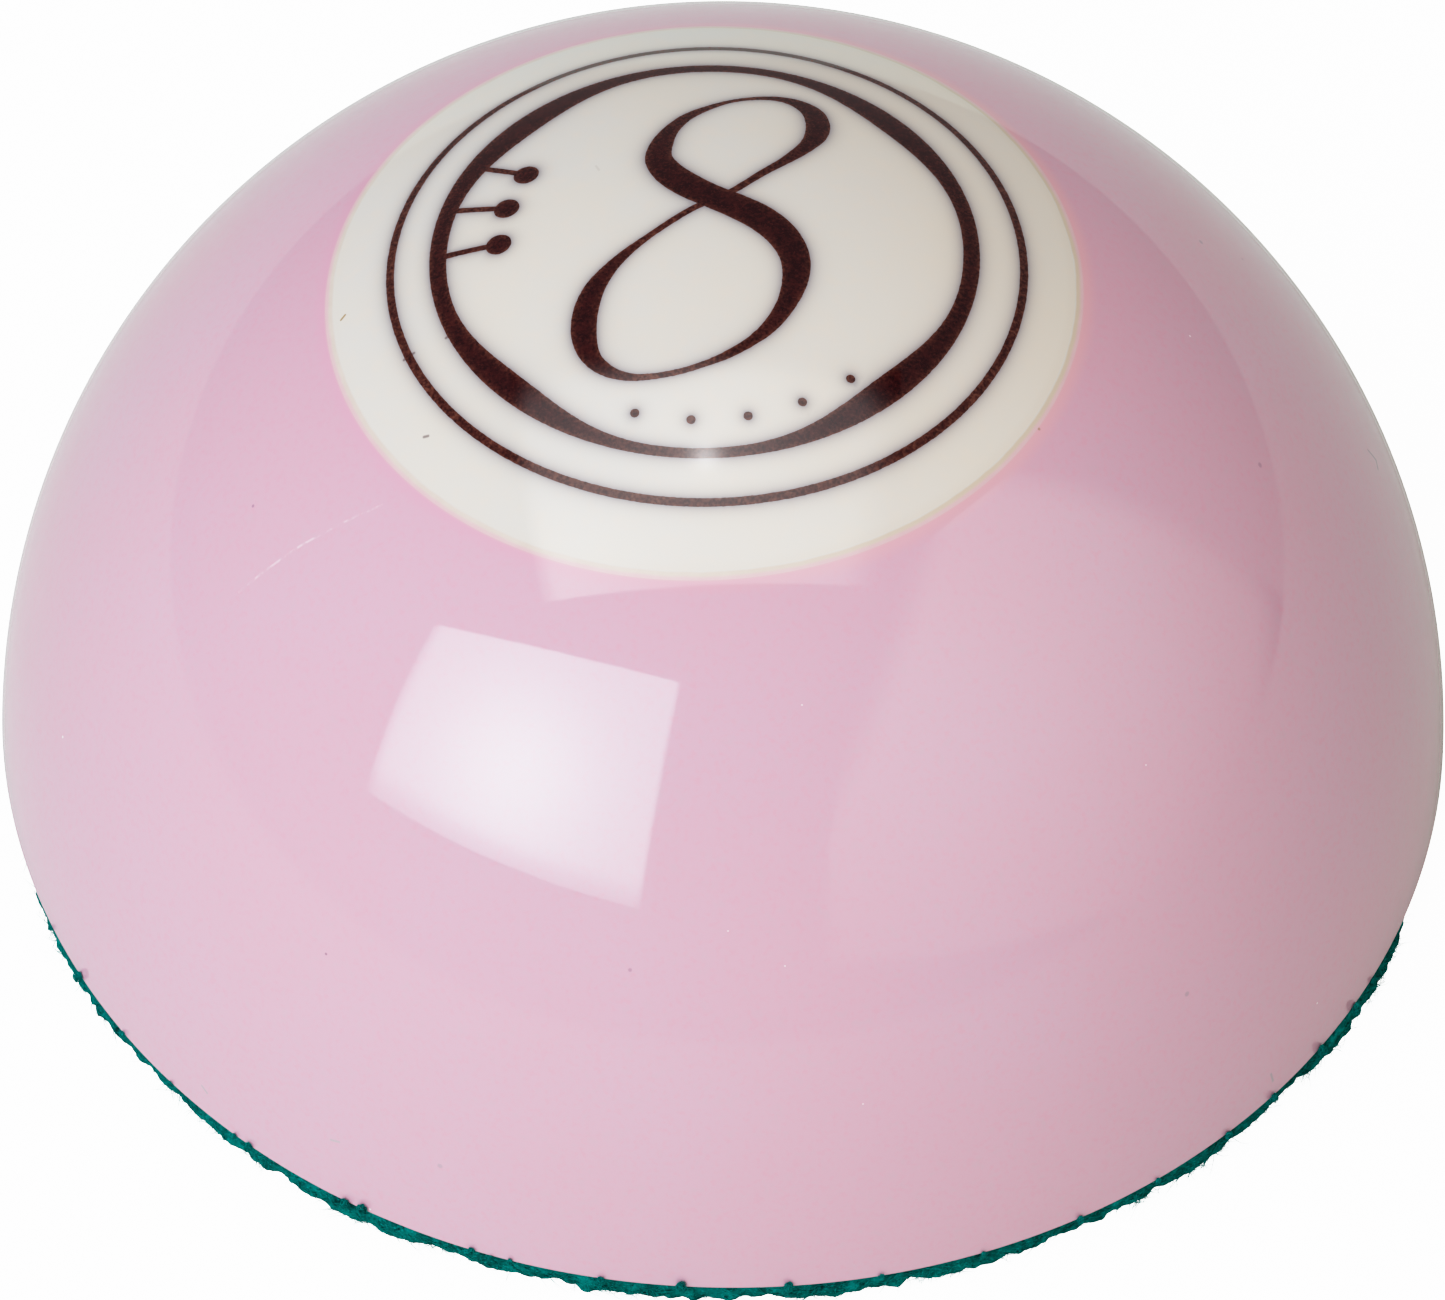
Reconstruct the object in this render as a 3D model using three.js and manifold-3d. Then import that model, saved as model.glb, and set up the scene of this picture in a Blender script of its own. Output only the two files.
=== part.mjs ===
// Numbered pool ball cut in half, with a felt base: a desk paperweight.
//
// Millimetres, +Z up. The origin is the centre of the felt's underside, which
// rests on the desk. -Y is the reader's side: the numeral reads upright from
// there, with its top towards +Y.
//
// The ball is a cast resin sphere with a cream number plug let into its crown
// on a thin bond line. The numeral, the two rings and the row of dots are
// separate thin inlays set flush in the plug. A lapped saw cut leaves slightly
// less than half of the ball, and a disc of felt is glued under it.

import * as THREE from 'three';
import { mergeVertices } from 'three/addons/utils/BufferGeometryUtils.js';
import Module from 'manifold-3d';

// ---------------------------------------------------------------- dimensions

const BALL_DIAMETER = 57.15;     // standard 2 1/4 inch pool ball
const BALL_RADIUS = BALL_DIAMETER / 2;
const KERF_LOSS = 1.62;          // height of the lapped flat above the ball's centre

const FELT_THICKNESS = 1.0;
const FELT_RADIUS = 28.3;        // just inside the ball's rim
const GLUE_THICKNESS = 0.1;      // film between the felt and the resin
const GLUE_RADIUS = 27.9;

const FLAT_Z = FELT_THICKNESS + GLUE_THICKNESS;   // height of the lapped flat
const CENTRE_Z = FLAT_Z - KERF_LOSS;              // height of the ball's centre

const PLUG_AXIS_X = -0.0456;     // x and y of the plug axis' unit vector:
const PLUG_AXIS_Y = 0.0099;      // it leans a little towards -X and +Y
const PLUG_RADIUS = 13.79;
const PLUG_FLOOR = 21.6;         // plug's flat floor, measured from the ball's centre
const BOND_THICKNESS = 0.31;     // bond line round and under the plug
const INLAY_DEPTH = 0.45;
const FIT = 0.02;                // clearance left round each let-in piece

// Tool solids that overshoot the ball.
const TURNED_TOP = BALL_RADIUS + 10;              // top of turned cylinders, in the plug frame
const PRISM = { bottom: 20, height: 12 };         // outlines drawn up through the crown
const CUT_BOX = { width: 80, height: 60 };        // clears the ball below the flat

// Facet and sample counts.
const SPHERE_DETAIL = 8;
const ROUND_SEGMENTS = 60;       // turned walls, discs and the rings' ovals
const BUD_SEGMENTS = 14;
const DOT_SEGMENTS = 10;
const INNER_EDGE_SAMPLES = 112;
const STEM_STROKE = { closed: false, samples: 10, runs: 1 };
const NUMERAL_STROKE = { closed: true, samples: 84, runs: 6 };

// --------------------------------------------------------------------- marks
// All marks are drawn flat: x to the right, y away from the reader, angles in
// degrees anticlockwise from x.

const MARKS_CENTRE = { x: 0.09, y: -0.01 };       // offset from the plug's axis

// The two rings are very slightly oval.
const OUTER_RING = { x: 0.05, y: 0.06, halfLength: 11.763, halfWidth: 11.550, turn: -12.5 };
const OUTER_RING_WIDTH = 0.30;
const ORNAMENT_RING = { x: -0.02, y: 0.08, halfLength: 10.201, halfWidth: 10.010, turn: -12.0 };

const radians = (degrees) => (degrees * Math.PI) / 180;

const polar = (radius, degrees) =>
  [radius * Math.cos(radians(degrees)), radius * Math.sin(radians(degrees))];

// Evenly stepped angles.
const stepped = ({ start, pitch, count }) =>
  Array.from({ length: count }, (_, i) => start + i * pitch);

// Inner edge of the ornament ring, clockwise from the left: a plain band that
// swells inwards in four places, halfway between the axes.
const INNER_EDGE = { radius: 9.56, swell: 0.52, count: 64 };
const INNER_EDGE_POINTS = stepped({ start: 180, pitch: -360 / INNER_EDGE.count, ...INNER_EDGE })
  .map((angle) =>
    polar(INNER_EDGE.radius - INNER_EDGE.swell * Math.sin(radians(2 * angle)) ** 4, angle));

// Three equal buds hang inside the ornament ring on straight radial stems.
const BUD_ANGLES = stepped({ start: 152, pitch: 14, count: 3 });
const BUD_ORBIT = 7.6;
const BUD_RADIUS = 0.48;
const BUDS = BUD_ANGLES.map((angle) => polar(BUD_ORBIT, angle));

// Stations along a stem, from bud to ring: [distance from centre, width].
const STEM_STATIONS = [[BUD_ORBIT, 0.26], [8.3, 0.26], [9.0, 0.26], [9.8, 0.30]];
const STEMS = BUD_ANGLES.map((angle) =>
  STEM_STATIONS.map(([distance, width]) => [...polar(distance, angle), width]));

// Five equal dots on the reader's side.
const DOT_ORBIT = 8.5;
const DOT_RADIUS = 0.17;
const DOTS = stepped({ start: -106, pitch: 14, count: 5 })
  .map((angle) => polar(DOT_ORBIT, angle));

// The numeral 8 as one closed pen stroke: [x, y, width of the stroke].
const NUMERAL = [
  [2.00, 7.61, 0.24], [2.75, 7.60, 0.35], [3.45, 7.30, 0.60], [3.95, 6.75, 0.84],
  [4.13, 6.00, 0.91], [4.05, 5.30, 0.83], [3.75, 4.65, 0.62], [3.30, 4.05, 0.50],
  [2.80, 3.50, 0.38], [2.20, 2.93, 0.33], [1.60, 2.33, 0.30], [1.10, 1.85, 0.30],
  [0.40, 1.35, 0.28], [-0.30, 0.93, 0.27], [-1.00, 0.38, 0.27], [-2.00, -0.50, 0.27],
  [-2.75, -1.20, 0.38], [-3.40, -1.95, 0.55], [-3.95, -2.85, 0.80], [-4.25, -3.90, 0.95],
  [-4.26, -4.90, 0.93], [-3.98, -5.80, 0.70], [-3.40, -6.40, 0.50], [-2.60, -6.73, 0.32],
  [-1.75, -6.76, 0.25], [-0.75, -6.60, 0.24], [0.20, -6.28, 0.25], [1.00, -5.90, 0.33],
  [1.80, -5.35, 0.40], [2.50, -4.65, 0.55], [3.10, -3.60, 0.72], [3.42, -2.40, 0.97],
  [3.38, -1.40, 1.12], [2.95, -0.45, 1.25], [2.20, 0.35, 1.30], [1.20, 1.00, 1.25],
  [0.30, 1.50, 1.20], [-0.60, 2.10, 1.25], [-1.35, 2.85, 1.20], [-1.75, 3.70, 1.03],
  [-1.65, 4.60, 0.85], [-1.30, 5.50, 0.60], [-0.75, 6.25, 0.45], [0.00, 6.83, 0.30],
  [0.90, 7.33, 0.20],
];

// ----------------------------------------------------------------- materials

const PINK = new THREE.MeshStandardMaterial({ color: 0xdfb2cf, roughness: 0.12, metalness: 0 });
const CREAM = new THREE.MeshStandardMaterial({ color: 0xe6e3d4, roughness: 0.14, metalness: 0 });
const AMBER = new THREE.MeshStandardMaterial({ color: 0xd9c6a4, roughness: 0.2, metalness: 0 });
const BROWN = new THREE.MeshStandardMaterial({ color: 0x3b1c22, roughness: 0.2, metalness: 0 });
const GLUE = new THREE.MeshStandardMaterial({ color: 0xcfc9a8, roughness: 0.5, metalness: 0 });
const FELT = new THREE.MeshStandardMaterial({ color: 0x046a5f, roughness: 1, metalness: 0 });

// --------------------------------------------------------------- conversions

const wasm = await Module();
wasm.setup();

// A closed three.js geometry as a solid.
function solid(geometry) {
  geometry.deleteAttribute('normal');
  geometry.deleteAttribute('uv');
  const merged = mergeVertices(geometry, 1e-5);
  const index = merged.index.array;
  const triangles = [];
  for (let i = 0; i < index.length; i += 3) {
    const [a, b, c] = index.slice(i, i + 3);
    // merging collapses some triangles, such as those on a lathe's axis
    if (a !== b && b !== c && c !== a) triangles.push(a, b, c);
  }
  return new wasm.Manifold(new wasm.Mesh({
    numProp: 3,
    vertProperties: new Float32Array(merged.attributes.position.array),
    triVerts: new Uint32Array(triangles),
  }));
}

// A solid back as a geometry without normals.
function geometryOf(manifold) {
  const mesh = manifold.getMesh();
  const geometry = new THREE.BufferGeometry();
  const positions = new Float32Array(mesh.vertProperties);
  geometry.setAttribute('position', new THREE.BufferAttribute(positions, 3));
  geometry.setIndex(new THREE.BufferAttribute(new Uint32Array(mesh.triVerts), 1));
  return geometry;
}

const joined = (solids) => solids.reduce((whole, part) => whole.add(part));

// Plug frame: origin at the ball's centre, z along the plug's leaning axis.
const plugZ = new THREE.Vector3(
  PLUG_AXIS_X, PLUG_AXIS_Y,
  Math.sqrt(1 - PLUG_AXIS_X ** 2 - PLUG_AXIS_Y ** 2));
const plugX = new THREE.Vector3(1, 0, 0).addScaledVector(plugZ, -plugZ.x).normalize();
const plugY = new THREE.Vector3().crossVectors(plugZ, plugX);
const plugFrame = new THREE.Matrix4().makeBasis(plugX, plugY, plugZ).setPosition(0, 0, CENTRE_Z);

const solidInPlugFrame = (geometry) => solid(geometry.applyMatrix4(plugFrame));

// -------------------------------------------------------------------- shapes

// A faceted ball; every radius gives the same facets, scaled.
function ball(radius) {
  return solidInPlugFrame(new THREE.IcosahedronGeometry(radius, SPHERE_DETAIL));
}

// A turned cylinder about the plug's axis, from a floor up past the crown.
function turned(radius, floor) {
  const profile = [[0, floor], [radius, floor], [radius, TURNED_TOP], [0, TURNED_TOP]];
  const geometry = new THREE.LatheGeometry(vectors(profile), ROUND_SEGMENTS);
  geometry.rotateX(Math.PI / 2);            // the lathe turns about Y
  return solidInPlugFrame(geometry);
}

// A flat disc about the model's Z axis.
function disc(radius, bottom, top) {
  const geometry = new THREE.CylinderGeometry(radius, radius, top - bottom, ROUND_SEGMENTS);
  geometry.rotateX(Math.PI / 2);
  geometry.translate(0, 0, (bottom + top) / 2);
  return geometry;
}

function vectors(points) {
  return points.map(([x, y]) => new THREE.Vector2(x, y));
}

// A flat outline, with an optional hole, drawn up through the ball's crown.
function prism(outline, hole = null) {
  const shape = new THREE.Shape(vectors(outline));
  if (hole) shape.holes.push(new THREE.Path(vectors(hole)));
  const geometry = new THREE.ExtrudeGeometry(
    shape, { depth: PRISM.height, bevelEnabled: false, steps: 1 });
  geometry.translate(MARKS_CENTRE.x, MARKS_CENTRE.y, PRISM.bottom);
  return solidInPlugFrame(geometry);
}

// Points round an oval whose half lengths are both lengthened by `grow`.
function ovalPoints({ x, y, halfLength, halfWidth, turn }, grow, segments) {
  const cos = Math.cos(radians(turn));
  const sin = Math.sin(radians(turn));
  return Array.from({ length: segments }, (_, i) => {
    const angle = (2 * Math.PI * i) / segments;
    const along = (halfLength + grow) * Math.cos(angle);
    const across = (halfWidth + grow) * Math.sin(angle);
    return [x + along * cos - across * sin, y + along * sin + across * cos];
  });
}

function roundPrism([x, y], radius, segments) {
  const circle = { x, y, halfLength: radius, halfWidth: radius, turn: 0 };
  return prism(ovalPoints(circle, 0, segments));
}

// A smooth curve through [x, y, z] points.
function smoothCurve(points, closed) {
  return new THREE.CatmullRomCurve3(
    points.map((point) => new THREE.Vector3(...point)), closed, 'centripetal');
}

// A smooth closed outline through clockwise points, shifted inwards.
function smoothLoop(points, samples, shrink) {
  const curve = smoothCurve(points.map(([x, y]) => [x, y, 0]), true);
  return Array.from({ length: samples }, (_, i) => {
    const point = curve.getPointAt(i / samples);
    const tangent = curve.getTangentAt(i / samples);
    // inwards is to the right of travel
    return [point.x + shrink * tangent.y, point.y - shrink * tangent.x];
  });
}

// A pen stroke of changing width through [x, y, width] points, made as one or
// more runs joined into one solid. Runs of a closed stroke overlap by one step,
// since a single outline could not cross itself or close up.
function stroke(points, { closed, samples, runs }, grow) {
  const stations = smoothCurve(points, closed).getPoints(samples);   // z is the width
  const station = (i) => (closed
    ? stations[(i + samples) % samples]
    : stations[Math.min(Math.max(i, 0), samples)]);

  // The stroke's edge at a station: side is 1 for left of travel, -1 for right.
  const edge = (i, side) => {
    const before = station(i - 1);
    const after = station(i + 1);
    const here = station(i);
    const dx = after.x - before.x;
    const dy = after.y - before.y;
    const length = Math.hypot(dx, dy);
    const offset = (here.z / 2 + grow) * side;
    return [here.x - (offset * dy) / length, here.y + (offset * dx) / length];
  };

  const overlap = closed ? 1 : 0;
  return joined(Array.from({ length: runs }, (_, run) => {
    const first = Math.floor((run * samples) / runs);
    const last = Math.floor(((run + 1) * samples) / runs) + overlap;
    const left = [];
    const right = [];
    for (let i = first; i <= last; i++) {
      left.push(edge(i, 1));
      right.push(edge(i, -1));
    }
    return prism(left.concat(right.reverse()));
  }));
}

// --------------------------------------------------------------- ball pieces

const sphere = ball(BALL_RADIUS);

// The cut ball with a flat-bottomed pocket for the plug and its bond.
function halfBallBody() {
  const { width, height } = CUT_BOX;
  const cutBox = new THREE.BoxGeometry(width, width, height).translate(0, 0, FLAT_Z - height / 2);
  return sphere
    .subtract(solid(cutBox))
    .subtract(turned(PLUG_RADIUS + BOND_THICKNESS, PLUG_FLOOR - BOND_THICKNESS));
}

// A thin cup that lines the pocket's floor and wall.
function plugBond() {
  return sphere
    .intersect(turned(PLUG_RADIUS + BOND_THICKNESS - FIT, PLUG_FLOOR - BOND_THICKNESS + FIT))
    .subtract(turned(PLUG_RADIUS + FIT, PLUG_FLOOR - FIT));
}

// The plug before its recesses: a turned disc with the ball's crown as its top.
const plugBlank = sphere.intersect(turned(PLUG_RADIUS, PLUG_FLOOR));

// -------------------------------------------------------------------- inlays
// Each mark is made twice: as the inlay, and grown by the clearance as the
// recess it sits in.

function outerRing(grow) {
  const halfBand = OUTER_RING_WIDTH / 2 + grow;
  return prism(
    ovalPoints(OUTER_RING, halfBand, ROUND_SEGMENTS),
    ovalPoints(OUTER_RING, -halfBand, ROUND_SEGMENTS));
}

function ornamentRing(grow) {
  const band = prism(
    ovalPoints(ORNAMENT_RING, grow, ROUND_SEGMENTS),
    smoothLoop(INNER_EDGE_POINTS, INNER_EDGE_SAMPLES, grow));
  const stems = STEMS.map((stem) => stroke(stem, STEM_STROKE, grow));
  const buds = BUDS.map((bud) => roundPrism(bud, BUD_RADIUS + grow, BUD_SEGMENTS));
  return joined([band, ...stems, ...buds]);
}

const numeral = (grow) => stroke(NUMERAL, NUMERAL_STROKE, grow);

const dotAt = (centre) => (grow) => roundPrism(centre, DOT_RADIUS + grow, DOT_SEGMENTS);

// Mesh name and the function that makes the mark.
const INLAYS = [
  ['outer_ring_inlay', outerRing],
  ['ornament_ring_inlay', ornamentRing],
  ['numeral_inlay', numeral],
  ...DOTS.map((centre, i) => [`dot_inlay_${i + 1}`, dotAt(centre)]),
];

const inlayFloor = ball(BALL_RADIUS - INLAY_DEPTH);
const recessFloor = ball(BALL_RADIUS - INLAY_DEPTH - FIT);

const inlay = (mark) => plugBlank.intersect(mark(0)).subtract(inlayFloor);

function numberPlug() {
  return INLAYS.reduce(
    (plug, [, mark]) => plug.subtract(mark(FIT).subtract(recessFloor)), plugBlank);
}

// ------------------------------------------------------------------ assembly

const model = new THREE.Group();

function place(name, geometry, material) {
  const mesh = new THREE.Mesh(geometry, material);
  mesh.name = name;
  model.add(mesh);
}

place('half_ball_body', geometryOf(halfBallBody()), PINK);
place('plug_bond', geometryOf(plugBond()), AMBER);
place('number_plug', geometryOf(numberPlug()), CREAM);
for (const [name, mark] of INLAYS) place(name, geometryOf(inlay(mark)), BROWN);
place('felt_adhesive', disc(GLUE_RADIUS, FELT_THICKNESS, FLAT_Z), GLUE);
place('felt_pad', disc(FELT_RADIUS, 0, FELT_THICKNESS), FELT);

export default model;
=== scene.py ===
import math
import random

import bpy
import numpy as np
from mathutils import Matrix, Vector, geometry, kdtree, noise


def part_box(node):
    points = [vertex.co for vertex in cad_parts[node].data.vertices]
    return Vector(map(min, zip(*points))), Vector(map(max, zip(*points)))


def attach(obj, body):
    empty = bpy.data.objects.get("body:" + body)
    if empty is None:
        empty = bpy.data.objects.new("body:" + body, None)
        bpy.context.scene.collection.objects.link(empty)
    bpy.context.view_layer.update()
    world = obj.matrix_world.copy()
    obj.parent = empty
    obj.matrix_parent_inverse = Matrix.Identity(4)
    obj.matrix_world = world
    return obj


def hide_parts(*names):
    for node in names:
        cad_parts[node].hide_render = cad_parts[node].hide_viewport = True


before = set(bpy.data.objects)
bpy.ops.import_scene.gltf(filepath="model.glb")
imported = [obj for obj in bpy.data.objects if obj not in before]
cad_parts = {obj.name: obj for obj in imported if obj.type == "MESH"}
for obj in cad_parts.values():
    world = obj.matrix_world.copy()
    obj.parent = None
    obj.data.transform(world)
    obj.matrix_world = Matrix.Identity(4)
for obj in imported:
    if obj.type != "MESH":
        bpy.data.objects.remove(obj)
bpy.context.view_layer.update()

MM = 0.001
rng = random.Random(88)
nrng = np.random.default_rng(88)

# ------------------------------------------------------------------ dimensions
# All in millimetres here, turned to metres when a mesh is made.
R = 28.575                                  # ball radius
PAD_LO, PAD_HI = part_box("felt_pad")
FILM_LO, FILM_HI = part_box("felt_adhesive")
BODY_LO, BODY_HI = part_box("half_ball_body")
FELT_T = PAD_HI.z / MM                      # felt thickness
BASE_Z = FILM_HI.z / MM                     # height of the lapped flat
CZ = BASE_Z - 1.62                          # height of the ball's centre
CENTRE = np.array([0.0, 0.0, CZ])
PLUG_R = 13.79
BOND_T = 0.31
FACE_X, FACE_Y = 0.09, -0.01                # the marks sit a hair off the plug's centre
PLUG_FLOOR = 21.6
INLAY_DEPTH = 0.45

pz = np.array([-0.0456, 0.0099, 0.0]); pz[2] = math.sqrt(1 - pz[0] ** 2 - pz[1] ** 2)
px = np.array([1.0, 0, 0]) - pz * pz[0]; px /= np.linalg.norm(px)
py = np.cross(pz, px)

OUTER_RING = dict(x=0.05, y=0.06, a=11.763, b=11.550, turn=-12.5, width=0.30)
INNER_RING = dict(x=-0.02, y=0.08, a=10.201, b=10.010, turn=-12.0)


def polar(r, deg):
    return (r * math.cos(math.radians(deg)), r * math.sin(math.radians(deg)))


# a plain band that swells evenly in four places, three equal buds on straight
# stems, five equal dots: the same formulas as the CAD part
RING_INNER_EDGE = [polar(9.56 - 0.52 * math.sin(math.radians(2 * d)) ** 4, d)
                   for d in (180 - 360 * i / 64 for i in range(64))]
BUD_ANGLES = (152, 166, 180)
STEMS = [[polar(r, d) + (w,) for r, w in ((7.6, 0.26), (8.3, 0.26), (9.0, 0.26), (9.8, 0.30))] for d in BUD_ANGLES]
BUDS = [polar(7.6, d) + (0.48,) for d in BUD_ANGLES]
DOTS = [polar(8.5, d) + (0.17,) for d in (-106, -92, -78, -64, -50)]
NUMERAL = [
    (2.00, 7.61, 0.24), (2.75, 7.60, 0.35), (3.45, 7.30, 0.60), (3.95, 6.75, 0.84),
    (4.13, 6.00, 0.91), (4.05, 5.30, 0.83), (3.75, 4.65, 0.62), (3.30, 4.05, 0.50),
    (2.80, 3.50, 0.38), (2.20, 2.93, 0.33), (1.60, 2.33, 0.30), (1.10, 1.85, 0.30),
    (0.40, 1.35, 0.28), (-0.30, 0.93, 0.27), (-1.00, 0.38, 0.27), (-2.00, -0.50, 0.27),
    (-2.75, -1.20, 0.38), (-3.40, -1.95, 0.55), (-3.95, -2.85, 0.80), (-4.25, -3.90, 0.95),
    (-4.26, -4.90, 0.93), (-3.98, -5.80, 0.70), (-3.40, -6.40, 0.50), (-2.60, -6.73, 0.32),
    (-1.75, -6.76, 0.25), (-0.75, -6.60, 0.24), (0.20, -6.28, 0.25), (1.00, -5.90, 0.33),
    (1.80, -5.35, 0.40), (2.50, -4.65, 0.55), (3.10, -3.60, 0.72), (3.42, -2.40, 0.97),
    (3.38, -1.40, 1.12), (2.95, -0.45, 1.25), (2.20, 0.35, 1.30), (1.20, 1.00, 1.25),
    (0.30, 1.50, 1.20), (-0.60, 2.10, 1.25), (-1.35, 2.85, 1.20), (-1.75, 3.70, 1.03),
    (-1.65, 4.60, 0.85), (-1.30, 5.50, 0.60), (-0.75, 6.25, 0.45), (0.00, 6.83, 0.30),
    (0.90, 7.33, 0.20)]


# --------------------------------------------------------------------- helpers
def on_ball(uv, r=R):
    """Plug-plane points (u, v) on a sphere of radius r about the ball's centre."""
    uv = np.asarray(uv, float)
    s = r / R
    u, v = uv[:, 0] * s, uv[:, 1] * s
    w = np.sqrt(np.maximum(r * r - u * u - v * v, 0))
    return CENTRE + u[:, None] * px + v[:, None] * py + w[:, None] * pz


def in_plug(u, v, w):
    u, v, w = (np.asarray(a, float) for a in (u, v, w))
    return CENTRE + u[..., None] * px + v[..., None] * py + w[..., None] * pz


def catmull(points, closed, n):
    """Centripetal Catmull-Rom through points, n samples (n + 1 when open)."""
    P = np.asarray(points, float)
    N = len(P)
    out = []
    for k in range(n if closed else n + 1):
        t = (N if closed else N - 1) * k / n
        i = int(math.floor(t)); w = t - i
        if not closed and i >= N - 1:
            i, w = N - 2, 1.0

        def g(j):
            if closed:
                return P[j % N]
            if j < 0:
                return 2 * P[0] - P[1]
            if j >= N:
                return 2 * P[-1] - P[-2]
            return P[j]
        p0, p1, p2, p3 = g(i - 1), g(i), g(i + 1), g(i + 2)
        d0, d1, d2 = (max(np.sum((a - b) ** 2) ** 0.25, 1e-4) for a, b in ((p0, p1), (p1, p2), (p2, p3)))
        t1 = ((p1 - p0) / d0 - (p2 - p0) / (d0 + d1) + (p2 - p1) / d1) * d1
        t2 = ((p2 - p1) / d1 - (p3 - p1) / (d1 + d2) + (p3 - p2) / d2) * d1
        out.append(p1 + t1 * w + (-3 * p1 + 3 * p2 - 2 * t1 - t2) * w * w
                   + (2 * p1 - 2 * p2 + t1 + t2) * w ** 3)
    return np.array(out)


def resample(loop, step, closed=True):
    """Even spacing along a polyline, by arc length."""
    P = np.asarray(loop, float)
    Q = np.vstack([P, P[:1]]) if closed else P
    s = np.concatenate([[0], np.cumsum(np.linalg.norm(np.diff(Q[:, :2], axis=0), axis=1))])
    n = max(8, int(round(s[-1] / step)))
    t = np.linspace(0, s[-1], n, endpoint=False) if closed else np.linspace(0, s[-1], n + 1)
    return np.stack([np.interp(t, s, Q[:, k]) for k in range(Q.shape[1])], 1)


def rough(loop, amount, seed, scale=6.0):
    """A slightly ragged copy of a closed outline, like a laser-cut edge."""
    P = np.asarray(loop, float)
    T = np.roll(P, -1, 0) - np.roll(P, 1, 0)
    T /= np.linalg.norm(T, axis=1)[:, None]
    N = np.stack([-T[:, 1], T[:, 0]], 1)
    d = np.array([noise.noise(Vector((p[0] * scale, p[1] * scale, seed)))
                  + 0.8 * noise.noise(Vector((p[0] * scale * 2.7, p[1] * scale * 2.7, seed + 9)))
                  for p in P])
    return P + N * (amount * d)[:, None]


def oval(x, y, a, b, turn, n):
    t = np.linspace(0, 2 * np.pi, n, endpoint=False)
    c, s = math.cos(math.radians(turn)), math.sin(math.radians(turn))
    u, v = a * np.cos(t), b * np.sin(t)
    return np.stack([x + u * c - v * s, y + u * s + v * c], 1)


def inside(points, poly):
    """Even-odd test of many points against one polygon."""
    pts, P = np.asarray(points), np.asarray(poly)
    lo, hi = P.min(0), P.max(0)
    res = np.zeros(len(pts), bool)
    idx = np.where((pts[:, 0] >= lo[0]) & (pts[:, 0] <= hi[0]) & (pts[:, 1] >= lo[1]) & (pts[:, 1] <= hi[1]))[0]
    A, B = P, np.roll(P, -1, 0)
    for k in range(0, len(idx), 4000):
        q = pts[idx[k:k + 4000]]
        ya, yb = A[None, :, 1], B[None, :, 1]
        cross = (ya > q[:, 1:2]) != (yb > q[:, 1:2])
        with np.errstate(divide="ignore", invalid="ignore"):
            xs = A[None, :, 0] + (q[:, 1:2] - ya) * (B[None, :, 0] - A[None, :, 0]) / (yb - ya)
        res[idx[k:k + 4000]] = (np.sum(cross & (q[:, 0:1] < xs), axis=1) % 2) == 1
    return res


SPHERE, FLAT, AUTO = 0, 1, 2


def make(name, verts, faces, tags, attrs=None):
    """One object from millimetre vertices. tags say how each face is shaded."""
    me = bpy.data.meshes.new(name)
    V = np.asarray(verts, float)
    me.from_pydata((V * MM).tolist(), [], [tuple(int(i) for i in f) for f in faces])
    me.update()
    me.polygons.foreach_set("use_smooth", np.ones(len(me.polygons), bool))
    if tags is not None:
        n_loops = len(me.loops)
        vi = np.zeros(n_loops, np.int32); me.loops.foreach_get("vertex_index", vi)
        tot = np.zeros(len(me.polygons), np.int32); me.polygons.foreach_get("loop_total", tot)
        fn = np.zeros(len(me.polygons) * 3); me.polygons.foreach_get("normal", fn)
        fn = fn.reshape(-1, 3)
        ltag = np.repeat(np.asarray(tags), tot)
        ln = np.repeat(fn, tot, axis=0)
        sn = V[vi] - CENTRE
        sn /= np.maximum(np.linalg.norm(sn, axis=1)[:, None], 1e-9)
        sgn = np.sign(np.sum(sn * ln, axis=1))[:, None]
        ln = np.where((ltag == SPHERE)[:, None], sn * np.where(sgn == 0, 1, sgn), ln)
        if np.any(ltag == AUTO):
            acc = np.zeros_like(V)
            m = ltag == AUTO
            np.add.at(acc, vi[m], ln[m])
            acc /= np.maximum(np.linalg.norm(acc, axis=1)[:, None], 1e-9)
            ln = np.where(m[:, None], acc[vi], ln)
        me.normals_split_custom_set(ln.tolist())
    for key, values in (attrs or {}).items():
        a = me.attributes.new(key, "FLOAT", "POINT")
        a.data.foreach_set("value", np.asarray(values, np.float32))
    ob = bpy.data.objects.new(name, me)
    bpy.context.scene.collection.objects.link(ob)
    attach(ob, "root")
    return ob


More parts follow.
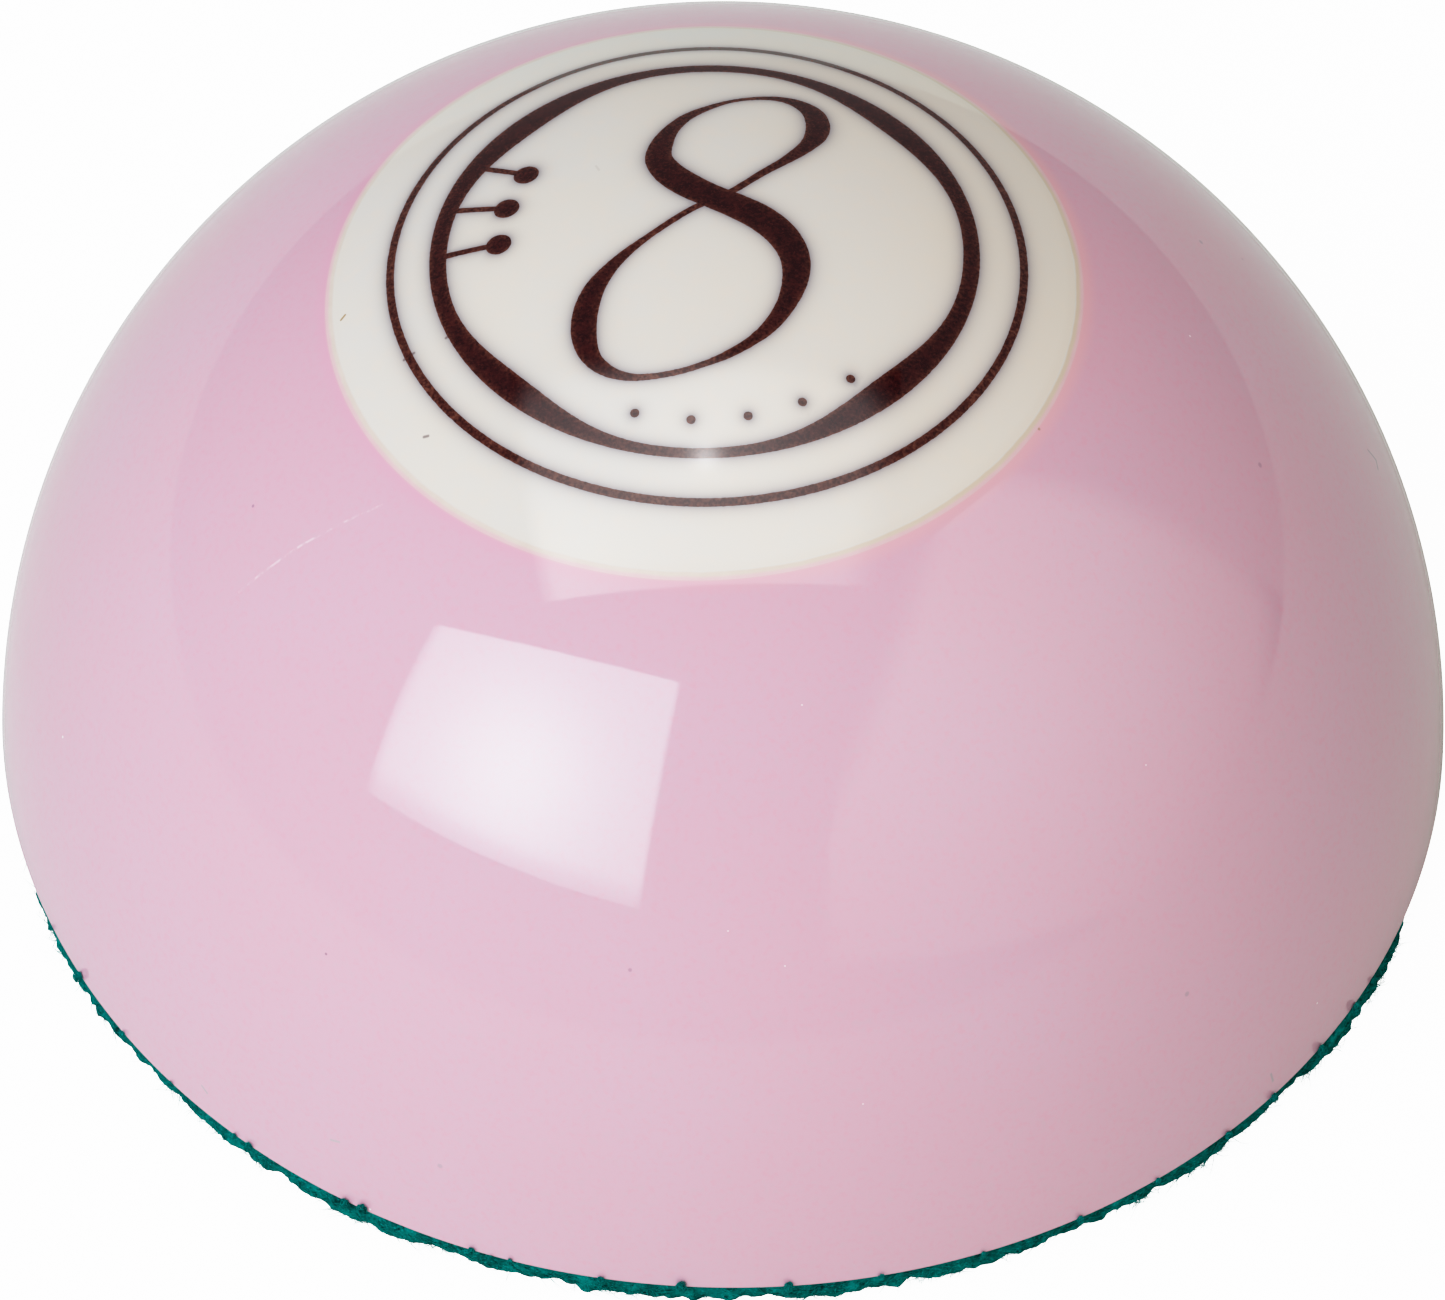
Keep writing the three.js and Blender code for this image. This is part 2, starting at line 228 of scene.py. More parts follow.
# ------------------------------------------------------------------- the dome
def build_body():
    N, M = 420, 150
    verts, faces, tags = [], [], []
    phi = np.arange(N) * 2 * np.pi / N
    rp = PLUG_R + BOND_T
    th0 = math.asin(rp / R)
    rf = 0.16                                    # eased edge of the lapped flat
    zc = BASE_Z + rf - CZ
    rc = math.sqrt((R - rf) ** 2 - zc ** 2)
    zt = zc * R / (R - rf)                       # where the easing leaves the sphere
    # polar angle at which the plug-frame direction reaches height zt
    th1 = np.full(N, math.pi / 2)
    for _ in range(40):
        d = (np.sin(th1)[:, None] * (np.cos(phi)[:, None] * px + np.sin(phi)[:, None] * py)
             + np.cos(th1)[:, None] * pz)
        dd = (np.cos(th1)[:, None] * (np.cos(phi)[:, None] * px + np.sin(phi)[:, None] * py)
              - np.sin(th1)[:, None] * pz)
        th1 -= (R * d[:, 2] - zt) / (R * dd[:, 2])
    rings = []

    def ring(P):
        rings.append(len(verts)); verts.extend(P.tolist())

    def strip(tag, flip=False):
        a, b = rings[-2], rings[-1]
        for j in range(N):
            k = (j + 1) % N
            faces.append((a + j, b + j, b + k, a + k)); tags.append(tag)

    floor_w = PLUG_FLOOR - BOND_T
    top_w = R * math.cos(th0)
    c, s = np.cos(phi), np.sin(phi)
    cen = len(verts); verts.append(in_plug(0, 0, floor_w).tolist())
    ring(in_plug(rp * c, rp * s, np.full(N, floor_w)))
    for j in range(N):
        faces.append((cen, rings[-1] + j, rings[-1] + (j + 1) % N)); tags.append(FLAT)
    for k in range(1, 7):
        ring(in_plug(rp * c, rp * s, np.full(N, floor_w + (top_w - floor_w) * k / 6))); strip(FLAT)
    for k in range(1, M + 1):
        t = k / M
        th = th0 + (th1 - th0) * t
        ring(CENTRE + R * (np.sin(th)[:, None] * (c[:, None] * px + s[:, None] * py) + np.cos(th)[:, None] * pz))
        strip(SPHERE)
    end = np.array(verts[rings[-1]:rings[-1] + N])
    psi = np.arctan2(end[:, 1], end[:, 0])
    a0 = math.atan2(zc, rc)
    for k in range(1, 9):
        a = a0 + (-math.pi / 2 - a0) * k / 8
        rr, zz = rc + rf * math.cos(a), zc + rf * math.sin(a) + CZ
        ring(np.stack([rr * np.cos(psi), rr * np.sin(psi), np.full(N, zz)], 1)); strip(AUTO)
    for rr in (27.0, 20.0, 10.0):
        ring(np.stack([rr * np.cos(psi), rr * np.sin(psi), np.full(N, BASE_Z)], 1)); strip(FLAT)
    cen = len(verts); verts.append([0, 0, BASE_Z])
    for j in range(N):
        faces.append((rings[-1] + (j + 1) % N, rings[-1] + j, cen)); tags.append(FLAT)
    ob = make("ball_dome_body", verts, faces, tags)
    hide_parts("half_ball_body")
    return ob


def build_bond():
    N = 360
    verts, faces, tags, rings = [], [], [], []
    phi = np.arange(N) * 2 * np.pi / N
    c, s = np.cos(phi), np.sin(phi)

    def ring(r, w):
        rings.append(len(verts)); verts.extend(in_plug(r * c, r * s, np.full(N, w)).tolist())

    def strip(tag):
        a, b = rings[-2], rings[-1]
        for j in range(N):
            k = (j + 1) % N
            faces.append((a + j, b + j, b + k, a + k)); tags.append(tag)
    ri, ro = PLUG_R, PLUG_R + BOND_T
    cen = len(verts); verts.append(in_plug(0, 0, PLUG_FLOOR).tolist())
    ring(ri, PLUG_FLOOR)
    for j in range(N):
        faces.append((cen, rings[-1] + j, rings[-1] + (j + 1) % N)); tags.append(FLAT)
    wi, wo = math.sqrt(R * R - ri * ri), math.sqrt(R * R - ro * ro)
    for k in range(1, 4):
        ring(ri, PLUG_FLOOR + (wi - PLUG_FLOOR) * k / 3); strip(FLAT)
    for k in range(1, 6):
        r = ri + (ro - ri) * k / 5
        ring(r, math.sqrt(R * R - r * r)); strip(SPHERE)
    for k in range(1, 4):
        ring(ro, wo + (PLUG_FLOOR - BOND_T - wo) * k / 3); strip(FLAT)
    cen = len(verts); verts.append(in_plug(0, 0, PLUG_FLOOR - BOND_T).tolist())
    for j in range(N):
        faces.append((rings[-1] + (j + 1) % N, rings[-1] + j, cen)); tags.append(FLAT)
    ob = make("plug_bond_line", verts, faces, tags)
    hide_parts("plug_bond")
    return ob


# --------------------------------------------------------- plug and its inlays
def stroke_sides(points, closed, n, seed, amount):
    C = catmull(points, closed, n * 3)
    C = resample(C, 0.075, closed)
    if closed:
        T = np.roll(C[:, :2], -1, 0) - np.roll(C[:, :2], 1, 0)
    else:
        T = np.gradient(C[:, :2], axis=0)
    T /= np.linalg.norm(T, axis=1)[:, None]
    N = np.stack([-T[:, 1], T[:, 0]], 1)
    L = C[:, :2] + N * C[:, 2:3] / 2
    Rr = C[:, :2] - N * C[:, 2:3] / 2
    out = []
    for k, S in enumerate((L, Rr)):
        d = np.array([noise.noise(Vector((p[0] * 6, p[1] * 6, seed + k)))
                      + 0.8 * noise.noise(Vector((p[0] * 16, p[1] * 16, seed + k + 9))) for p in S])
        out.append(S + N * (amount * d)[:, None])
    return out


def build_plug():
    EDGE = 0.011
    face = np.array([FACE_X, FACE_Y])
    polys = {}          # piece -> list of (kind, polygon): "in" adds, "out" takes away
    loops = []          # constraint polylines: (points, closed)
    o = OUTER_RING
    ring_out = rough(oval(o["x"], o["y"], o["a"] + o["width"] / 2, o["b"] + o["width"] / 2, o["turn"], 900), EDGE, 1)
    ring_in = rough(oval(o["x"], o["y"], o["a"] - o["width"] / 2, o["b"] - o["width"] / 2, o["turn"], 880), EDGE, 2)
    polys["outer_ring"] = [("in", ring_out), ("out", ring_in)]
    loops += [(ring_out, True), (ring_in, True)]
    i = INNER_RING
    orn_out = rough(oval(i["x"], i["y"], i["a"], i["b"], i["turn"], 800), EDGE, 3)
    orn_in = rough(resample(catmull(RING_INNER_EDGE, True, 3000), 0.078), EDGE, 4)
    orn = [("in", orn_out), ("out", orn_in)]
    loops += [(orn_out, True), (orn_in, True)]
    extra = []
    for k, st in enumerate(STEMS):
        L, Q = stroke_sides(st, False, 160, 20 + k, EDGE)
        poly = np.vstack([L, Q[::-1]])
        extra.append(("add", poly)); loops.append((poly, True))
    for k, (x, y, r) in enumerate(BUDS):
        poly = rough(resample(oval(x, y, r, r * 1.02, 0, 60), 0.07), EDGE, 30 + k)
        extra.append(("add", poly)); loops.append((poly, True))
    polys["ornament_ring"] = orn + extra
    L, Q = stroke_sides(NUMERAL, True, 900, 40, EDGE)
    n = len(L); runs = 8; num = []
    for k in range(runs):
        a, b = (k * n) // runs, ((k + 1) * n) // runs
        idx = np.arange(a, b + 1) % n
        num.append(("add", np.vstack([L[idx], Q[idx][::-1]])))
    loops += [(L, True), (Q, True)]
    polys["numeral"] = num
    for k, (x, y, r) in enumerate(DOTS):
        poly = rough(oval(x, y, r, r, 0, 16), EDGE * 0.8, 50 + k)
        polys["dot_%d" % (k + 1)] = [("add", poly)]
        loops.append((poly, True))
    loops = [(P + face, closed) for P, closed in loops]
    polys = {nm: [(kind, P + face) for kind, P in parts] for nm, parts in polys.items()}
    nb = 360
    phi = np.arange(nb) * 2 * np.pi / nb
    rim = np.stack([PLUG_R * np.cos(phi), PLUG_R * np.sin(phi)], 1)
    loops.append((rim, True))

    pts, edges = [], []
    for P, closed in loops:
        s = len(pts)
        pts.extend(P.tolist())
        m = len(P)
        edges.extend((s + j, s + (j + 1) % m) for j in range(m if closed else m - 1))
    allp = np.array(pts)
    tree = kdtree.KDTree(len(allp))
    for j, p in enumerate(allp):
        tree.insert((p[0], p[1], 0), j)
    tree.balance()
    step = 0.19
    ys = np.arange(-PLUG_R, PLUG_R, step * 0.866)
    for r_i, y in enumerate(ys):
        for x in np.arange(-PLUG_R + (r_i % 2) * step / 2, PLUG_R, step):
            if x * x + y * y > (PLUG_R - 0.1) ** 2:
                continue
            if tree.find((x, y, 0))[2] < 0.075:
                continue
            pts.append((x + rng.uniform(-.02, .02), y + rng.uniform(-.02, .02)))
    res = geometry.delaunay_2d_cdt([Vector(p) for p in pts], edges, [], 0, 1e-5, False)
    V2 = np.array([(v.x, v.y) for v in res[0]])
    F = np.array([f for f in res[2] if len(f) == 3])
    cen = V2[F].mean(1)
    a, b, c = V2[F[:, 0]], V2[F[:, 1]], V2[F[:, 2]]
    area = 0.5 * ((b[:, 0] - a[:, 0]) * (c[:, 1] - a[:, 1]) - (b[:, 1] - a[:, 1]) * (c[:, 0] - a[:, 0]))
    F[area < 0] = F[area < 0][:, ::-1]
    keep = inside(cen, rim)
    F, cen = F[keep], cen[keep]
    owner = np.full(len(F), -1)
    names = list(polys)
    for k, nm in enumerate(names):
        hit = np.zeros(len(F), bool)
        for kind, P in polys[nm]:
            m = inside(cen, P)
            if kind in ("in", "add"):
                hit |= m
            else:
                hit &= ~m
        owner[hit] = k

    # distance from each vertex to the true edge between inlay and resin, in mm
    side = {}
    for f_i, t in enumerate(F):
        for j in range(3):
            e = (int(t[j]), int(t[(j + 1) % 3]))
            side[e] = owner[f_i] >= 0
    cut = [(V2[e[0]] * (1 - w) + V2[e[1]] * w) for e, dark in side.items()
           if dark and not side.get((e[1], e[0]), True) for w in (0.0, 0.33, 0.67)]
    tree = kdtree.KDTree(len(cut))
    for j, p in enumerate(cut):
        tree.insert((p[0], p[1], 0), j)
    tree.balance()
    dist = np.array([tree.find((p[0], p[1], 0))[2] for p in V2])

    # soft darkening: how much inlay lies round each vertex, within about 1.4 mm
    shade = np.zeros(len(V2))
    ink_c = cen[owner >= 0]
    fa, fb, fc = V2[F[:, 0]], V2[F[:, 1]], V2[F[:, 2]]
    tri_area = 0.5 * np.abs((fb[:, 0] - fa[:, 0]) * (fc[:, 1] - fa[:, 1]) - (fb[:, 1] - fa[:, 1]) * (fc[:, 0] - fa[:, 0]))
    ink_a = tri_area[owner >= 0]
    # gather the inlay's area on a fine grid, blur it with the resin's spread
    G = 0.1; half = 150
    grid = np.zeros((2 * half, 2 * half))
    gi = np.clip(((ink_c / G) + half).astype(int), 0, 2 * half - 1)
    np.add.at(grid, (gi[:, 1], gi[:, 0]), ink_a / (G * G))
    kr = 26
    ky, kx = np.mgrid[-kr:kr + 1, -kr:kr + 1]
    kd = np.hypot(kx, ky) * G
    ker = np.exp(-kd / 0.42) / (kd + 0.12)
    ker /= ker.sum()
    fg = np.fft.rfft2(grid, (2 * half + 2 * kr, 2 * half + 2 * kr))
    fkr = np.fft.rfft2(ker, (2 * half + 2 * kr, 2 * half + 2 * kr))
    blur = np.fft.irfft2(fg * fkr, (2 * half + 2 * kr, 2 * half + 2 * kr))[kr:kr + 2 * half, kr:kr + 2 * half]
    gx = np.clip(V2[:, 0] / G + half - 0.5, 0, 2 * half - 2); gy = np.clip(V2[:, 1] / G + half - 0.5, 0, 2 * half - 2)
    ix, iy = gx.astype(int), gy.astype(int)
    wx, wy = gx - ix, gy - iy
    shade = (blur[iy, ix] * (1 - wx) * (1 - wy) + blur[iy, ix + 1] * wx * (1 - wy)
             + blur[iy + 1, ix] * (1 - wx) * wy + blur[iy + 1, ix + 1] * wx * wy)

    def boundary(tris):
        seen = {}
        for t in tris:
            for j in range(3):
                e = (int(t[j]), int(t[(j + 1) % 3]))
                seen[e] = 1
        return [e for e in seen if (e[1], e[0]) not in seen]

    top_all = on_ball(V2, R)
    low_all = on_ball(V2, R - INLAY_DEPTH)

    # the cream plug: crown, recesses, side wall and floor
    nv = len(V2)
    verts = np.vstack([top_all, low_all])
    faces, tags = [], []
    cream = F[owner < 0]
    ink = F[owner >= 0]
    faces += [tuple(t) for t in cream]; tags += [SPHERE] * len(cream)
    faces += [tuple(t + nv) for t in ink]; tags += [SPHERE] * len(ink)
    r2 = V2[:, 0] ** 2 + V2[:, 1] ** 2
    on_rim = r2 > (PLUG_R - 1e-3) ** 2
    rim_edges = []
    for e in boundary(cream):
        if on_rim[e[0]] and on_rim[e[1]]:
            rim_edges.append(e)
        else:                                     # wall of a recess
            faces.append((e[1], e[0], e[0] + nv, e[1] + nv)); tags.append(FLAT)
    extra_v, extra_i = [], {}
    levels = [PLUG_FLOOR + (math.sqrt(R * R - PLUG_R ** 2) - PLUG_FLOOR) * t for t in (0.66, 0.33, 0.0)]

    def low(i, k):
        key = (i, k)
        if key not in extra_i:
            extra_i[key] = len(verts) + len(extra_v)
            extra_v.append(in_plug(V2[i, 0], V2[i, 1], levels[k]).tolist())
        return extra_i[key]
    for e in rim_edges:
        a, b = e
        pa, pb = a, b
        for k in range(3):
            la, lb = low(a, k), low(b, k)
            faces.append((pb, pa, la, lb)); tags.append(FLAT)
            pa, pb = la, lb
    centre_i = len(verts) + len(extra_v)
    extra_v.append(in_plug(0, 0, PLUG_FLOOR).tolist())
    for e in rim_edges:
        faces.append((low(e[1], 2), low(e[0], 2), centre_i)); tags.append(FLAT)
    verts = np.vstack([verts, np.array(extra_v)])
    used = np.unique(np.concatenate([np.array(f) for f in faces]))
    remap = -np.ones(len(verts), int); remap[used] = np.arange(len(used))
    faces = [tuple(remap[list(f)]) for f in faces]
    pad = len(verts) - nv * 2
    d_all = np.concatenate([dist, np.zeros(nv), np.full(pad, 5.0)])
    s_all = np.concatenate([shade, np.ones(nv), np.zeros(pad)])
    plug = make("number_plug_face", verts[used], faces, tags,
                {"ink_dist": d_all[used], "ink_shade": s_all[used]})
    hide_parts("number_plug")

    nodes = {"outer_ring": "outer_ring_inlay", "ornament_ring": "ornament_ring_inlay", "numeral": "numeral_inlay"}
    pieces = []
    for k, nm in enumerate(names):
        T = F[owner == k]
        bd = boundary(T)
        vs = np.unique(T)
        rm = -np.ones(nv, int); rm[vs] = np.arange(len(vs))
        m = len(vs)
        vv = np.vstack([top_all[vs], on_ball(V2[vs], R - INLAY_DEPTH + 0.004)])
        ff = [tuple(rm[t]) for t in T] + [tuple(rm[t][::-1] + m) for t in T]
        tg = [SPHERE] * (2 * len(T))
        for e in bd:
            a, b = rm[e[0]], rm[e[1]]
            ff.append((b, a, a + m, b + m)); tg.append(FLAT)
        ob = make(nm + "_inlay_fill" if not nm.startswith("dot") else nm.replace("_", "_inlay_fill_"),
                  vv, ff, tg,
                  {"ink_dist": np.concatenate([dist[vs], dist[vs]]), "ink_shade": np.concatenate([shade[vs], shade[vs]])})
        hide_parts(nodes.get(nm, nm.replace("dot_", "dot_inlay_")))
        pieces.append(ob)
    return plug, pieces


# ------------------------------------------------------------------ felt, glue
# Outline of the scissor-cut pad: how far it stands out from (or back of) the
# resin's rim, every 4 degrees from 202 to 338, then a plain wander elsewhere.
CUT = [-0.22, -0.21, -0.13, -0.10, -0.25, -0.34, -0.30, -0.30, -0.26, -0.21, -0.09, -0.33, -0.35,
       -0.32, -0.29, -0.30, -0.35, -0.39, -0.40, -0.23, -0.31, -0.27, -0.20, -0.36, -0.28,
       -0.36, -0.24, -0.13, -0.33, -0.13, -0.28, 0.02, 0.01, 0.08, -0.10]
RIM_R = math.sqrt(R * R - 1.62 ** 2)


def cut_line(deg):
    deg = deg % 360
    if 202 <= deg <= 338:
        return float(np.interp(deg, 202 + 4 * np.arange(len(CUT)), CUT))
    a = math.radians(deg)
    w = -0.20 + 0.13 * noise.noise(Vector((3 * math.cos(a), 3 * math.sin(a), 4.0))) \
        + 0.10 * noise.noise(Vector((9 * math.cos(a), 9 * math.sin(a), 7.0)))
    return w


def felt_edge(a, z):
    """Radius of the pad's cut edge at angle a (radians) and height z (mm)."""
    c, s = math.cos(a), math.sin(a)
    r = RIM_R + cut_line(math.degrees(a))
    t = z / FELT_T
    r += 0.05 * math.sin(math.pi * t) - 0.05 * (t > 0.92)
    q = Vector((c * 28, s * 28, z))
    r += 0.20 * noise.noise(q * 0.8 + Vector((0, 0, 3)))
    r += 0.13 * noise.noise(q * 1.9 + Vector((5, 0, 0)))
    r += 0.07 * noise.noise(q * 4.6 + Vector((0, 8, 0)))
    r += 0.45 * max(0.0, noise.noise(q * 1.2 + Vector((2, 7, 1))) - 0.26)
    # trimmed closer along the two sides
    r -= 0.22 * max(0.0, 1.0 - ((s + 0.12) / 0.26) ** 2)
    return r


def build_felt():
    N = 1500
    zs = [0.0, 0.05, 0.16, 0.3, 0.44, 0.58, 0.72, 0.86, 0.95, 1.0]
    zs = [z * FELT_T for z in zs]
    verts, faces, tags, rings = [], [], [], []
    ang = np.arange(N) * 2 * np.pi / N

    def ring(r, z):
        rings.append(len(verts))
        verts.extend(np.stack([r * np.cos(ang), r * np.sin(ang), z], 1).tolist())

    def strip():
        a, b = rings[-2], rings[-1]
        for j in range(N):
            k = (j + 1) % N
            faces.append((a + j, a + k, b + k, b + j)); tags.append(AUTO)
    cen = len(verts); verts.append([0, 0, 0.0])
    for r in (6.0, 14.0, 21.0, 26.0, 27.4):
        ring(np.full(N, r), np.full(N, 0.0))
        if len(rings) > 1:
            strip()
        else:
            for j in range(N):
                faces.append((cen, rings[-1] + (j + 1) % N, rings[-1] + j)); tags.append(AUTO)
    for k, z in enumerate(zs):
        rr = np.array([felt_edge(a, z) for a in ang])
        if k == 0:
            rr -= 0.10
        elif k == 1:
            rr -= 0.03
        elif k == len(zs) - 1:
            rr -= 0.06
        zz = np.full(N, z)
        if 0 < k < len(zs) - 1:
            zz = zz + 0.03 * np.array([noise.noise(Vector((28 * math.cos(a) * 2.5, 28 * math.sin(a) * 2.5, z * 3))) for a in ang])
        ring(rr, zz); strip()
    for r in (27.0, 20.0, 10.0):
        ring(np.full(N, r), np.full(N, FELT_T)); strip()
    cen = len(verts); verts.append([0, 0, FELT_T])
    for j in range(N):
        faces.append((rings[-1] + j, rings[-1] + (j + 1) % N, cen)); tags.append(AUTO)
    ob = make("felt_pad_cut", verts, faces, tags)
    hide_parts("felt_pad")
    return ob


def tube(verts, faces, path, radius, sides=4):
    """A closed, tapering hair along a path."""
    P = np.asarray(path)
    T = np.gradient(P, axis=0)
    T /= np.maximum(np.linalg.norm(T, axis=1)[:, None], 1e-9)
    ref = np.array([0.3, 0.2, 0.93])
    base = len(verts)
    n = len(P)
    for i in range(n):
        u = np.cross(T[i], ref); u /= max(np.linalg.norm(u), 1e-9)
        v = np.cross(T[i], u)
        r = radius * (1.0 - 0.65 * i / (n - 1))
        for k in range(sides):
            a = 2 * math.pi * k / sides
            verts.append((P[i] + r * (math.cos(a) * u + math.sin(a) * v)).tolist())
    for i in range(n - 1):
        for k in range(sides):
            a, b = base + i * sides + k, base + i * sides + (k + 1) % sides
            faces.append((a, b, b + sides, a + sides))
    faces.append(tuple(base + k for k in range(sides))[::-1])
    faces.append(tuple(base + (n - 1) * sides + k for k in range(sides)))


def build_fibres():
    """Loose wool at the cut edge: short curled hairs, thickest in tufts."""
    verts, faces = [], []
    tufts = [(rng.uniform(0, 360), rng.uniform(0.5, 2.5)) for _ in range(70)]
    tufts += [(242, 1.6), (278, 1.0), (290, 1.2), (318, 1.3), (327, 2.2), (333, 2.6), (310, 1.0), (246, 1.0)]
    count = 0
    while count < 4200:
        if rng.random() < 0.55:
            c, w = rng.choice(tufts)
            a = math.radians(rng.gauss(c, w))
        else:
            a = rng.uniform(0, 2 * math.pi)
        if abs(math.sin(a) + 0.12) < 0.22 and rng.random() < 0.85:
            count += 1
            continue
        z = FELT_T * min(0.97, max(0.03, rng.betavariate(1.5, 1.5)))
        r = felt_edge(a, z) - 0.06
        p = np.array([r * math.cos(a), r * math.sin(a), z])
        out = np.array([math.cos(a), math.sin(a), 0.0]); tan = np.array([-math.sin(a), math.cos(a), 0.0])
        up = np.array([0, 0, 1.0])
        L = rng.uniform(0.18, 0.62) * (1.5 if rng.random() < 0.06 else 1.0)
        side = rng.choice((-1, 1)) * rng.uniform(0.3, 1.6)
        d = out * rng.uniform(0.35, 0.9) + tan * side + up * rng.uniform(-0.5, 0.35)
        d /= np.linalg.norm(d)
        bend = tan * rng.uniform(-1, 1) + out * rng.uniform(-0.9, 0.2) + up * rng.uniform(-0.7, 0.3)
        n = 6
        path = []
        for i in range(n):
            t = i / (n - 1)
            q = p + d * L * t + bend * (L * 0.55) * t * t
            q[2] = min(max(q[2], 0.02), FELT_T + 0.08)
            # hairs never enter the resin above the pad
            if q[2] > FELT_T - 0.02 and math.hypot(q[0], q[1]) < RIM_R + 0.05:
                q[2] = FELT_T - 0.02
            rad = math.hypot(q[0], q[1])
            lim = RIM_R + 0.62
            if rad > lim:
                q[:2] *= lim / rad
            path.append(q)
        tube(verts, faces, path, rng.uniform(0.010, 0.020))
        count += 1
    # small burrs curled up against the rim
    burrs = [206, 211.5, 218, 224, 231, 232.5, 241.5, 243, 252, 253.5, 255, 262, 268, 276, 283, 291, 299, 306, 313, 318, 324,
             329, 332] + [rng.uniform(22, 158) for _ in range(24)]
    for deg in burrs:
        size = rng.choice((0.10, 0.12, 0.15, 0.18, 0.21))
        off = RIM_R + 0.03 + size * 0.4
        c0 = np.array([off * math.cos(math.radians(deg)), off * math.sin(math.radians(deg)),
                       FELT_T + 0.10 + size * rng.uniform(0.4, 1.5)])
        for _ in range(int(20 + 260 * size)):
            v0 = np.array([rng.gauss(0, 1), rng.gauss(0, 1), rng.gauss(0, 1)]); v0 /= np.linalg.norm(v0)
            v1 = np.array([rng.gauss(0, 1), rng.gauss(0, 1), rng.gauss(0, 1)]); v1 -= v0 * (v1 @ v0); v1 /= np.linalg.norm(v1)
            span, rr = rng.uniform(1.2, 2.6), size * rng.uniform(0.55, 1.05)
            path = []
            for i in range(6):
                w = span * i / 5
                q = c0 + rr * (math.cos(w) * v0 + math.sin(w) * v1)
                q[2] = max(c0[2] + (q[2] - c0[2]) * 1.35, 0.05)
                # stay clear of the ball
                rad = math.hypot(q[0], q[1]); lo = RIM_R + 0.03
                if rad < lo:
                    q[:2] *= lo / rad
                path.append(q)
            tube(verts, faces, path, rng.uniform(0.012, 0.022))
    ob = make("felt_edge_fibres", verts, faces, None)
    return ob


def build_glue():
    N = 720
    verts, faces, tags, rings = [], [], [], []
    ang = np.arange(N) * 2 * np.pi / N
    z0, z1 = FELT_T, BASE_Z

    def ring(r, z):
        rings.append(len(verts))
        verts.extend(np.stack([r * np.cos(ang), r * np.sin(ang), np.full(N, z)], 1).tolist())

    def strip(tag):
        a, b = rings[-2], rings[-1]
        for j in range(N):
            k = (j + 1) % N
            faces.append((a + j, a + k, b + k, b + j)); tags.append(tag)
    edge = np.array([28.05 + 0.10 * noise.noise(Vector((8 * math.cos(a), 8 * math.sin(a), 2)))
                     + 0.05 * noise.noise(Vector((40 * math.cos(a), 40 * math.sin(a), 3))) for a in ang])
    cen = len(verts); verts.append([0, 0, z0])
    ring(np.full(N, 14.0), z0)
    for j in range(N):
        faces.append((cen, rings[-1] + (j + 1) % N, rings[-1] + j)); tags.append(FLAT)
    ring(edge - 0.02, z0); strip(FLAT)
    ring(edge + 0.02, z0 + (z1 - z0) * 0.3); strip(AUTO)
    ring(edge + 0.02, z0 + (z1 - z0) * 0.7); strip(AUTO)
    ring(edge - 0.02, z1); strip(AUTO)
    ring(np.full(N, 14.0), z1); strip(FLAT)
    cen = len(verts); verts.append([0, 0, z1])
    for j in range(N):
        faces.append((rings[-1] + j, rings[-1] + (j + 1) % N, cen)); tags.append(FLAT)
    ob = make("glue_film", verts, faces, tags)
    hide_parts("felt_adhesive")
    return ob


